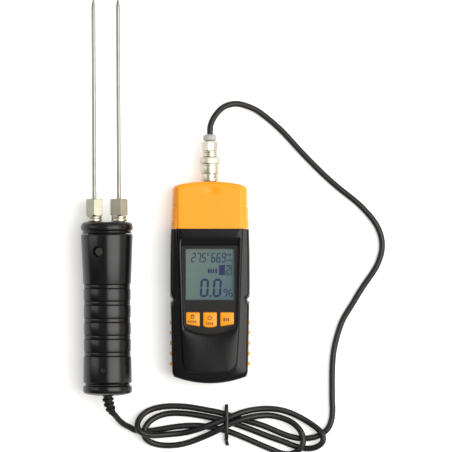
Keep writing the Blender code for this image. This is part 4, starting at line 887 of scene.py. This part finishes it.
def bar(start, end, width, pointed=True):
    """A flat bar between two points: six corners, pointed on a figure's segments and square elsewhere."""
    start, end = np.array(start, float), np.array(end, float)
    along = (end - start) / np.linalg.norm(end - start)
    side = np.array((-along[1], along[0])) * width / 2
    taper = along * (width / 2 if pointed else 0.0)
    return np.array([start, start + taper + side, end - taper + side, end, end - taper - side,
                     start + taper - side])


def figure(digit, x, y, width, height, stroke, slant=0.10):
    """The lit bars of one seven-segment figure whose lower left corner is x, y; slant leans it right."""
    gap = stroke * 0.04
    half = height / 2
    ends = {"a": ((0, height), (width, height)), "g": ((0, half), (width, half)), "d": ((0, 0), (width, 0)),
            "f": ((0, half), (0, height)), "e": ((0, 0), (0, half)), "b": ((width, half), (width, height)),
            "c": ((width, 0), (width, half))}
    bars = []
    for name in SEGMENTS[digit]:
        start, end = (np.array(point, float) for point in ends[name])
        along = (end - start) / np.linalg.norm(end - start)
        outline = bar(start + along * gap, end - along * gap, stroke)
        outline[:, 0] += outline[:, 1] * slant
        bars.append(outline + (x, y))
    return bars


def ring_bars(x, y, radius, stroke, sides=10, start=0.0, stop=2 * pi):
    """A ring, or an arc of one, drawn as short bars from corner to corner of a polygon."""
    angle = np.linspace(start, stop, sides + 1)
    corner = np.stack([x + radius * np.cos(angle), y + radius * np.sin(angle)], 1)
    return [bar(a, b, stroke, pointed=False) for a, b in zip(corner, corner[1:])]


def inlay(name, outlines, low, high):
    """Thin flat solids, one for each outline, in one mesh: an upper face, a lower face and a wall each."""
    points, faces, base = [], [], 0
    for outline in outlines:
        count = len(outline)
        keep = outline if np.cross(outline[1] - outline[0], outline[2] - outline[1]) > 0 else outline[::-1]
        points += [at_height(keep, low), at_height(keep, high)]
        faces.append([base + count + i for i in range(count)])
        faces.append([base + count - 1 - i for i in range(count)])
        faces += [[base + i, base + (i + 1) % count, base + count + (i + 1) % count, base + count + i]
                  for i in range(count)]
        base += 2 * count
    return surface(name, np.concatenate(points), faces, smooth=False)


marks = []
for index, digit in enumerate("275"):
    marks += figure(digit, -0.0143 + 0.0040 * index, 0.0160, 0.0025, 0.0066, 0.00085)
for index, digit in enumerate("669"):
    marks += figure(digit, 0.0010 + 0.0040 * index, 0.0160, 0.0025, 0.0066, 0.00085)
for x in (-0.0072, 0.0081):
    marks.append(bar((x, 0.0160), (x + 0.0008, 0.0160), 0.0008, pointed=False))
marks += ring_bars(-0.0014, 0.0218, 0.00080, 0.00045, sides=8)
for row, lengths in ((0.0216, (0.0012, 0.0016)), (0.0172, (0.0008, 0.0009, 0.0009))):
    spot = 0.0129
    for length in lengths:
        marks.append(bar((spot, row), (spot + length, row), 0.0012, pointed=False))
        spot += length + 0.0006
for index, length in enumerate((0.0012, 0.0011, 0.0010, 0.0012)):
    marks.append(bar((-0.0016 + 0.0019 * index, 0.0090), (-0.0016 + 0.0019 * index + length + 0.0002, 0.0090),
                     0.0034, pointed=False))
marks.append(bar((0.0070, 0.0097), (0.0116, 0.0097), 0.0078, pointed=False))
for start, end in (((0.0116, 0.0134), (0.0167, 0.0134)), ((0.0116, 0.0060), (0.0167, 0.0060)),
                   ((0.0165, 0.0058), (0.0165, 0.0136))):
    marks.append(bar(start, end, 0.0005, pointed=False))
marks += figure("2", 0.0127, 0.0070, 0.0026, 0.0054, 0.00085, slant=0.04)
for x in (-0.0071, 0.0028):
    marks += figure("0", x, -0.0104, 0.0049, 0.0126, 0.0018, slant=0.06)
marks.append(bar((-0.0004, -0.0104), (0.0011, -0.0104), 0.0017, pointed=False))
marks += ring_bars(0.0120, -0.0062, 0.0013, 0.00072)
marks += ring_bars(0.0161, -0.0093, 0.0013, 0.00072)
marks.append(bar((0.0119, -0.0108), (0.0162, -0.0048), 0.00075, pointed=False))
lcd_ink = plastic("lcd_ink", (0.002, 0.002, 0.055), (0.004, 0.005, 0.070), 0.5, grain=2000.0, bump=0.0,
                  specular=0.2)
figures = inlay("lcd_figures", marks, LCD_TOP - 0.0001, LCD_TOP + 0.00008)
paint(figures, lcd_ink)
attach(figures, "root")

bezel_outer, bezel_inner = window_line(0.0008, 0.0017), window_line(0.0, 0.0013)
bezel = loft("window_frame", [at_height(bezel_outer, 0.0224), at_height(bezel_outer, 0.0249),
                              at_height(bezel_inner, 0.0249), at_height(bezel_inner, 0.0224)], closed=True)
bezel_black = plastic("window_frame_black", (0.004, 0.004, 0.0045), (0.007, 0.007, 0.0075), 0.35,
                      specular=0.2)
paint(bezel, bezel_black)
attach(bezel, "root")

lens_clear, lens_tree, lens_shader = new_material("lens_clear")
lens_shader.inputs["Base Color"].default_value = (0.25, 0.30, 0.30, 1)
lens_shader.inputs["Roughness"].default_value = 0.08
lens_shader.inputs["Specular IOR Level"].default_value = 0.3
lens_place = lens_tree.nodes.new("ShaderNodeTexCoord")
lens_film = add_node(lens_tree, "ShaderNodeTexNoise", Scale=300.0, Detail=3.0)
lens_fade = add_node(lens_tree, "ShaderNodeMapRange", To_Min=0.02, To_Max=0.05)
lens_tree.links.new(lens_place.outputs["Object"], lens_film.inputs["Vector"])
lens_tree.links.new(lens_film.outputs["Fac"], lens_fade.inputs["Value"])
lens_tree.links.new(lens_fade.outputs[0], lens_shader.inputs["Alpha"])
lens = loft("display_window", [at_height(window_line(grow, 0.0016), height) for grow, height in
                               ((0.0006, 0.0250), (0.0006, 0.02545), (0.0004, 0.02565))])
paint(lens, lens_clear)
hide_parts("display_lens")
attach(lens, "root")


# ------------------------------------------------------------------ yellow cap
# A golden-yellow moulded cap closes the plug end of the body. Its raised middle carries on from the black
# tongue, its far end is arched, and each side has two small grip notches. The socket stands in its end.
CAP_FLAT = 0.0243
cap_turn = np.linspace(-pi, pi, 448, endpoint=False)


def cap_section(half, shrink=0.0):
    """The cap seen from its end: flat middle, a small step, sloping shoulders and rounded lower edges."""
    outline = both_sides([
        (CAP_FLAT, 0.0270, 0.0006), (CAP_FLAT + 0.0010, 0.0259, 0.0005), (half - 0.0027, 0.0251, 0.0016),
        (half - 0.0006, 0.0215, 0.0030), (half, 0.0132, 0.0040), (half - 0.0002, 0.0044, 0.0018),
        (half - 0.0011, 0.0014, 0.0010), (half - 0.0034, 0.0, 0.0010)])
    seen = star(outline, cap_turn, centre=np.array((0.0, PLUG_HEIGHT)))
    middle = np.array((0.0, PLUG_HEIGHT))
    return middle + (seen - middle) * np.array(((half - shrink) / half, (0.0135 - shrink) / 0.0135))


def cap_ring(place, section, arch):
    """A section set at a place along Y; its outer parts stand back by arch times the square of x."""
    x, z = section[:, 0], section[:, 1]
    y = place - 0.0034 * arch * (np.abs(x) / 0.0280) ** 2.2
    oval = np.exp(-((x - 0.0017) / 0.0040) ** 2 - ((y - 0.0712) / 0.0023) ** 2)
    return np.stack([x, y, np.where(z > 0.020, z - 0.0009 * oval, z)], 1)


def cap_width(place):
    """Half the cap's width at a place along Y: it tapers, and each grip notch is a small bell-shaped dip."""
    notches = sum(0.00055 * np.exp(-((place - notch) / 0.00055) ** 2) for notch in (0.0494, 0.0587))
    steps = 0.00022 * sum(float(place < notch) for notch in (0.0494, 0.0587))
    return 0.0298 - 0.0008 * min(1.0, (place - CAP_SEAM) / 0.032) + steps - notches


cap_rings = []
for place in np.linspace(CAP_SEAM, CAP_TOP - 0.0030, 86):
    arch = max(0.0, (place - 0.062) / 0.0162) ** 1.3
    cap_rings.append(cap_ring(place, cap_section(cap_width(place)), arch))
end_width = cap_width(CAP_TOP)
for share in np.linspace(0.1, 1.0, 10):
    bend = share * pi / 2
    cap_rings.append(cap_ring(CAP_TOP - 0.0030 + 0.0030 * sin(bend),
                              cap_section(end_width, 0.0028 * (1 - cos(bend))), 1.0))
cap_end = cap_rings[-1]
hole_way = np.stack([np.cos(cap_turn), np.sin(cap_turn)], 1)
for radius, depth in ((0.0069, 0.0), (0.0069, 0.0011), (0.0051, 0.0011), (0.0051, 0.0030)):
    circle = hole_way * radius + (0.0, PLUG_HEIGHT)
    ring = np.stack([circle[:, 0], np.full(len(circle), CAP_TOP - depth), circle[:, 1]], 1)
    if depth == 0.0:
        for share in (0.15, 0.4, 0.7, 0.9):
            cap_rings.append(cap_end + (ring - cap_end) * share)
    cap_rings.append(ring)
for place, wall in ((CAP_TOP - 0.0062, 0.0034), (CAP_SEAM + 0.0245, 0.0024), (CAP_SEAM, 0.0022)):
    cap_rings.append(cap_ring(place, cap_section(cap_width(place), wall), 0.0))
cap = loft("yellow_cap", cap_rings, closed=True, sharp=30)
cap_yellow = plastic("cap_yellow", (0.92, 0.335, 0.004), (0.88, 0.30, 0.003), 0.36, variation=0.9,
                     grain=2600.0, spread=0.10, bump=0.06, specular=0.35)
paint(cap, cap_yellow)
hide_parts("top_cap")
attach(cap, "root")


# ------------------------------------------------------------------ keys and side grips
# The three keys are the same yellow plastic and stand in holes of the panel. A thin dark red band round each
# key is painted shade: the yellow plastic as it looks in shadow in the gap. A strip of the yellow plastic
# inside each long side pushes five small nubs out through slots in the front shell.
key_yellow = plastic("key_yellow", (0.80, 0.30, 0.004), (0.76, 0.27, 0.003), 0.30, variation=0.6,
                     grain=2600.0, specular=0.3)
# Painted shade: the dark red of the gaps round the keys is the yellow plastic as it looks in shadow.
key_gap_shade_paint = plastic("key_gap_shade_paint", (0.115, 0.016, 0.006), (0.08, 0.010, 0.005), 0.5, grain=1800.0)
key_ink = plastic("key_ink", (0.16, 0.014, 0.006), (0.12, 0.010, 0.005), 0.5, grain=2000.0, bump=0.0)
KEY_TOP = 0.0264
for column, body, node in ((-1, "enter_key", "key_enter"), (0, "hold_key", "key_hold"),
                           (1, "set_key", "key_set")):
    key = loft(f"{body}_top", [at_height(key_line(column, grow), height) for grow, height in (
        (-0.0002, 0.0232), (0.0, 0.0236), (0.0, KEY_TOP - 0.0006), (-0.00012, KEY_TOP - 0.0003),
        (-0.00035, KEY_TOP - 0.00008), (-0.0006, KEY_TOP))], sharp=50)
    paint(key, key_yellow)
    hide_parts(node)
    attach(key, body)
    # A thin dark red band round the key, below its top: painted shade in the gap between key and panel.
    gap_shade = slab(f"{body}_skirt", key_line(column, 0.00042), 0.0212, 0.0247)
    paint(gap_shade, key_gap_shade_paint)
    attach(gap_shade, body)

enter_x, set_x = -KEY_PITCH, KEY_PITCH
symbols = {
    "enter_key": [bar((enter_x - 0.0016, -0.0252), (enter_x + 0.0010, -0.0252), 0.0011, False),
                  bar((enter_x - 0.0016, -0.0273), (enter_x + 0.0010, -0.0273), 0.0008, False),
                  bar((enter_x - 0.0014, -0.0250), (enter_x - 0.0014, -0.0276), 0.0005, False),
                  bar((enter_x + 0.0008, -0.0250), (enter_x + 0.0008, -0.0276), 0.0005, False)],
    "hold_key": [*ring_bars(-0.0002, -0.0272, 0.0014, 0.00055, sides=12, start=2.2, stop=7.2),
                 bar((-0.0002, -0.0270), (-0.0002, -0.0252), 0.0006, False)],
    "set_key": []}
for body, spot, row, count in (("enter_key", enter_x - 0.0040, -0.0300, 5), ("hold_key", -0.0028, -0.0315, 4),
                               ("set_key", set_x - 0.0028, -0.0285, 3)):
    pitch = 0.00145 if count > 3 else 0.0017
    for index in range(count):
        symbols[body].append(bar((spot + pitch * index, row), (spot + pitch * (index + 0.62), row),
                                 {5: 0.0016, 4: 0.0017, 3: 0.0026}[count], False))
for body, outlines in symbols.items():
    mark = inlay(f"{body}_mark", outlines, KEY_TOP - 0.0002, KEY_TOP + 0.00004)
    paint(mark, key_ink)
    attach(mark, body)

for side, name in ((-1, "left"), (1, "right")):
    grip = slab(f"grip_strip_{name}", frame_line(0.0007, -0.0648, -0.0282, 0.0003) + (side * 0.0265, 0),
                SEAM + 0.0034, SEAM + 0.0080)
    paint(grip, cap_yellow)
    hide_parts(f"side_grip_{name}")
    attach(grip, "root")
    for index, place in enumerate(GRIP_PLACES):
        nub_line = rounded_line([(side * 0.0269, place + 0.00135), (side * 0.0312, place + 0.00135),
                                 (side * 0.0312, place - 0.00135), (side * 0.0269, place - 0.00135)],
                                [0.0002, 0.0007, 0.0007, 0.0002])
        rings = []
        for inset, height in ((0.0006, SEAM + 0.0016), (0.0001, SEAM + 0.0022), (0.0, SEAM + 0.0045),
                              (0.0001, SEAM + 0.0068), (0.0007, SEAM + 0.0076)):
            line = nub_line.copy()
            line[:, 0] -= side * inset
            rings.append(at_height(line, height))
        nub = loft(f"grip_nub_{name}_{index + 1}", rings, sharp=60)
        paint(nub, cap_yellow)
        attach(nub, "root")


# ------------------------------------------------------------------ battery bay
# The door slides out of dovetail rails at the back's lower end and has thumb ribs. Behind it a black tray
# holds four AAA cells in plain printed sleeves, between nickel-plated contact strips.
door_black = plastic("door_black", (0.007, 0.007, 0.0075), (0.013, 0.013, 0.0135), 0.40, grain=1500.0,
                     bump=0.25, specular=0.3)
paint(nodes["battery_door"], door_black)
door_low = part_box("battery_door")[0]
for index in range(7):
    row = door_low.y + 0.0120 + 0.0022 * index
    reach = 0.0095 - 0.0011 * abs(index - 3)
    rib = loft(f"door_rib_{index + 1}", [
        at_height(frame_line(reach - shrink, row - 0.0006 + shrink, row + 0.0006 - shrink, 0.0002), height)
        for shrink, height in ((0.00025, 0.00006), (0.0, 0.0003), (0.0, 0.0008))])
    paint(rib, door_black)
    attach(rib, "door")
paint(nodes["battery_tray"], back_black)
for name in ("battery_contacts_lower", "battery_contacts_upper"):
    paint(nodes[name], NICKEL)


def banded(name, first, second, low, high, roughness, grain):
    """Two colours with a sharp border: first where Y lies between low and high, second elsewhere."""
    made = plastic(name, first, first, roughness, grain=grain)
    tree = made.node_tree
    shader = tree.nodes["Principled BSDF"]
    place = next(node for node in tree.nodes if node.bl_idname == "ShaderNodeTexCoord")
    split = tree.nodes.new("ShaderNodeSeparateXYZ")
    tree.links.new(place.outputs["Object"], split.inputs[0])
    above = add_node(tree, "ShaderNodeMath", operation="GREATER_THAN")
    above.inputs[1].default_value = low
    below = add_node(tree, "ShaderNodeMath", operation="LESS_THAN")
    below.inputs[1].default_value = high
    inside = add_node(tree, "ShaderNodeMath", operation="MULTIPLY")
    tree.links.new(split.outputs["Y"], above.inputs[0])
    tree.links.new(split.outputs["Y"], below.inputs[0])
    tree.links.new(above.outputs[0], inside.inputs[0])
    tree.links.new(below.outputs[0], inside.inputs[1])
    mix = add_node(tree, "ShaderNodeMix", data_type="RGBA")
    mix.inputs[6].default_value = (*second, 1)
    skin = next(node for node in tree.nodes if node.bl_idname == "ShaderNodeGroup")
    tree.links.new(inside.outputs[0], mix.inputs[0])
    tree.links.new(skin.outputs["Colour"], mix.inputs[7])
    tree.links.new(mix.outputs[2], shader.inputs["Base Color"])
    return made


cell_low, cell_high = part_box("battery_1")
cell_sleeve = banded("cell_sleeve", (0.04, 0.14, 0.30), (0.62, 0.60, 0.56), cell_low.y + 0.004,
                     cell_high.y - 0.006, 0.30, 900.0)
for index in range(4):
    paint(nodes[f"battery_{index + 1}"], cell_sleeve)


# ------------------------------------------------------------------ circuit board and what sits on it
# A green glass-fibre board with the key switches and the processor, a milky light guide and a rubber
# contact strip under the display, and a small air sensor on its lower face.
board_green = plastic("board_green_mask", (0.020, 0.170, 0.070), (0.010, 0.100, 0.045), 0.32, variation=1.0,
                      grain=500.0, spread=0.2, bump=0.2)
guide_milk = plastic("guide_milk", (0.78, 0.86, 0.88), (0.70, 0.79, 0.82), 0.30, grain=700.0)
strip_rubber = plastic("strip_rubber", (0.09, 0.09, 0.10), (0.13, 0.13, 0.14), 0.6, grain=1500.0)
for node, finish in (("main_board", board_green), ("backlight", guide_milk),
                     ("lcd_contact_strip", strip_rubber), ("air_sensor", WHITE_MOULDING)):
    paint(nodes[node], finish)


# ------------------------------------------------------------------ probe handle
# A thick tube of black plastic, turned and polished, with five hand grooves. A domed head piece closes it
# at the pins and a shorter end piece at the lead; one large and one small cross-head screw hold them.
PROBE_X = -0.0796
PROBE_LEAN = radians(0.3)
HANDLE_RADIUS = 0.02025
HANDLE_SLIM = HANDLE_RADIUS - 0.0020
HANDLE_TOP = 0.0471
HANDLE_FOOT = -0.0872
HANDLE_AXIS = (PROBE_X, 0.0, HANDLE_RADIUS)
HANDLE_BORE = 0.0150
SPIGOT_RADIUS = 0.0147                   # the head and the end piece plug into the bore by this radius
shell_top, shell_low = HANDLE_TOP - 0.0095, HANDLE_FOOT + 0.0094
handle_profile = [(HANDLE_BORE, shell_top), (HANDLE_RADIUS - 0.0009, shell_top),
                  (HANDLE_RADIUS - 0.0002, shell_top - 0.0008), (HANDLE_SLIM + 0.0003, shell_top - 0.0384)]
for place in (0.0404, 0.0532, 0.0665, 0.0795, 0.0927):
    groove = shell_top - place
    flare = 0.0006 * (place > 0.09)
    handle_profile += [(HANDLE_SLIM, groove + 0.0020), (HANDLE_SLIM - 0.0008, groove + 0.0017),
                       (HANDLE_SLIM - 0.0008, groove + 0.0015), (HANDLE_SLIM - 0.0003, groove + 0.0012),
                       (HANDLE_SLIM - 0.0003, groove - 0.0012), (HANDLE_SLIM - 0.0008, groove - 0.0015),
                       (HANDLE_SLIM - 0.0008, groove - 0.0017), (HANDLE_SLIM + flare / 2, groove - 0.0020)]
handle_profile += [(HANDLE_SLIM + 0.0006, shell_low + 0.0010), (HANDLE_SLIM - 0.0002, shell_low),
                   (HANDLE_BORE, shell_low)]
tube = lathe("handle_tube", soften(handle_profile, 0.00018, 3), 128, HANDLE_AXIS, PROBE_LEAN, sharp=40)


def standing(name, outline, low, high, turn, place, centre_x, centre_z):
    """An outline of (across, along Y) made a solid that stands out from the Y axis at an angle from +Z
    towards +X, between two distances from the axis."""
    across, along = outline[:, 0][None, :], outline[:, 1][None, :]
    level = np.array([low, high])[:, None] + 0 * across
    x = across * cos(turn) + level * sin(turn)
    z = level * cos(turn) - across * sin(turn)
    return loft(name, np.stack([centre_x + x, place + along + 0 * level, centre_z + z], -1))


def disc_line(radius):
    """A circle of 40 points."""
    angle = 2 * pi * np.arange(40) / 40
    return np.stack([radius * np.cos(angle), radius * np.sin(angle)], 1)


handle_black = plastic("handle_black", (0.0024, 0.0024, 0.0026), (0.0048, 0.0048, 0.0050), 0.25,
                       variation=0.7, grain=1800.0, spread=0.12, bump=0.05, specular=0.32)
# Painted shade: the screw heads are coloured nearly black for the dark of the deep bores they sit in.
SCREW_SHADE_DARK = metal("screw_dark_painted_shade", (0.10, 0.095, 0.085), (0.05, 0.048, 0.045), 0.28)
for node, x, place, bore, head, floor in (
        ("handle_screw_upper", -0.0072, shell_top - 0.0136, 0.0041, 0.0030, HANDLE_RADIUS - 0.0046),
        ("handle_screw_lower", -0.0038, HANDLE_FOOT + 0.0199, 0.0022, 0.0019, HANDLE_RADIUS - 0.0036)):
    turn = float(np.arctan2(x, HANDLE_RADIUS))
    where = (turn, place, PROBE_X - place * sin(PROBE_LEAN), HANDLE_RADIUS)
    carve(tube, standing("bore", disc_line(bore), floor - 0.0002, HANDLE_RADIUS + 0.003, *where))
    screw = standing(f"{node}_head", disc_line(head), floor, floor + 0.0013, *where)
    slot_half, slot_width = head * 0.62, head * 0.13
    for quarter in (0.5, 0.5 + pi / 2):
        corners = np.array([(slot_half, slot_width), (slot_half, -slot_width), (-slot_half, -slot_width),
                            (-slot_half, slot_width)])
        spun = np.stack([corners[:, 0] * cos(quarter) - corners[:, 1] * sin(quarter),
                         corners[:, 0] * sin(quarter) + corners[:, 1] * cos(quarter)], 1)
        carve(screw, standing("recess", spun, floor + 0.0007, floor + 0.0020, *where))
    # The head's near-black colour is painted shade of its bore.
    paint(screw, SCREW_SHADE_DARK)
    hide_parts(node)
    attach(screw, "root")
paint(tube, handle_black)
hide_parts("handle_shell")
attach(tube, "root")

head_low = shell_top + 0.0003
head_profile = [(0.0, HANDLE_TOP), (HANDLE_RADIUS - 0.0038, HANDLE_TOP),
                (HANDLE_RADIUS - 0.0014, HANDLE_TOP - 0.0007), (HANDLE_RADIUS - 0.0004, HANDLE_TOP - 0.0022),
                (HANDLE_RADIUS, HANDLE_TOP - 0.0045),
                (HANDLE_RADIUS - 0.0003, HANDLE_TOP - 0.0064), (HANDLE_RADIUS - 0.0014, HANDLE_TOP - 0.0072),
                (HANDLE_RADIUS - 0.0014, head_low + 0.0010), (HANDLE_RADIUS - 0.0008, head_low + 0.0006),
                (HANDLE_RADIUS - 0.0012, head_low), (SPIGOT_RADIUS, head_low),
                (SPIGOT_RADIUS, head_low - 0.0070), (0.0, head_low - 0.0070)]
head_piece = lathe("handle_head", soften(head_profile, 0.0005, 4), 128, HANDLE_AXIS, PROBE_LEAN, sharp=40)
paint(head_piece, handle_black)
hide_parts("handle_top")
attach(head_piece, "root")

foot_top = shell_low - 0.0003
foot_radius = HANDLE_SLIM + 0.0009
foot_profile = [(0.0030, foot_top + 0.0070), (SPIGOT_RADIUS, foot_top + 0.0070), (SPIGOT_RADIUS, foot_top),
                (foot_radius - 0.0018, foot_top), (foot_radius - 0.0018, foot_top - 0.0012),
                (foot_radius - 0.0002, foot_top - 0.0020), (foot_radius, foot_top - 0.0052),
                (foot_radius - 0.0006, foot_top - 0.0070), (foot_radius - 0.0032, HANDLE_FOOT + 0.0009),
                (foot_radius - 0.0085, HANDLE_FOOT), (0.0030, HANDLE_FOOT)]
foot_piece = lathe("handle_foot", soften(foot_profile, 0.0006, 5), 128, HANDLE_AXIS, PROBE_LEAN, sharp=40)
paint(foot_piece, handle_black)
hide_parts("handle_end")
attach(foot_piece, "root")
paint(nodes["pin_block"], WHITE_MOULDING)


# ------------------------------------------------------------------ pins, nuts and collars
# Two drawn stainless rods with turned points. Each stands in a nickel-plated collar in the handle's head
# and is locked by a tall hexagon nut, which the tester turns to change a worn pin.
NUT_NICKEL = metal("nut_nickel", (0.48, 0.46, 0.37), (0.36, 0.345, 0.27), 0.40,
                   stretch=(2500.0, 2500.0, 2500.0), spread=0.18, bump=0.10)
nut_foot = HANDLE_TOP + 0.0047
for side, name, turned_by in ((-1, "left", 0.0), (1, "right", radians(11.8))):
    offset = side * 0.0095
    axis_at = (PROBE_X + offset * cos(PROBE_LEAN), offset * sin(PROBE_LEAN), HANDLE_RADIUS)
    pin = lathe(f"probe_pin_{name}", [
        (0.0, 0.2200), (0.00018, 0.21985), (0.00042, 0.2192), (0.0009, 0.2174), (0.00135, 0.2152),
        (0.00155, 0.2138), (0.0016, 0.2128), (0.0016, 0.1500), (0.0016, 0.0900), (0.0016, 0.0150),
        (0.0, 0.0150)], 32, axis_at, PROBE_LEAN, sharp=40)
    paint(pin, STEEL)
    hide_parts(f"pin_{name}")
    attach(pin, "root")
    nut = flats(f"pin_nut_{name}", 0.0143, 6, nut_foot, nut_foot + 0.0130, 0.0019, axis_at,
                turn=turned_by + pi / 6, lean=PROBE_LEAN, chamfer=0.0008, columns=180)
    paint(nut, NUT_NICKEL)
    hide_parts(f"hex_nut_{name}")
    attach(nut, "root")
    collar = lathe(f"pin_seat_{name}", soften([
        (0.0019, nut_foot - 0.0003), (0.0052, nut_foot - 0.0003), (0.00605, nut_foot - 0.0007),
        (0.00605, nut_foot - 0.0016), (0.0056, nut_foot - 0.0019), (0.0056, nut_foot - 0.0023),
        (0.00605, nut_foot - 0.0026), (0.00605, HANDLE_TOP + 0.0006), (0.0057, HANDLE_TOP + 0.0003),
        (0.0045, HANDLE_TOP + 0.0003), (0.0045, head_low + 0.0015), (0.0019, head_low + 0.0015)], 0.0002, 3),
        64, axis_at, PROBE_LEAN)
    paint(collar, NICKEL)
    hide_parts(f"pin_collar_{name}")
    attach(collar, "root")
    paint(nodes[f"wire_lug_{name}"], NICKEL)
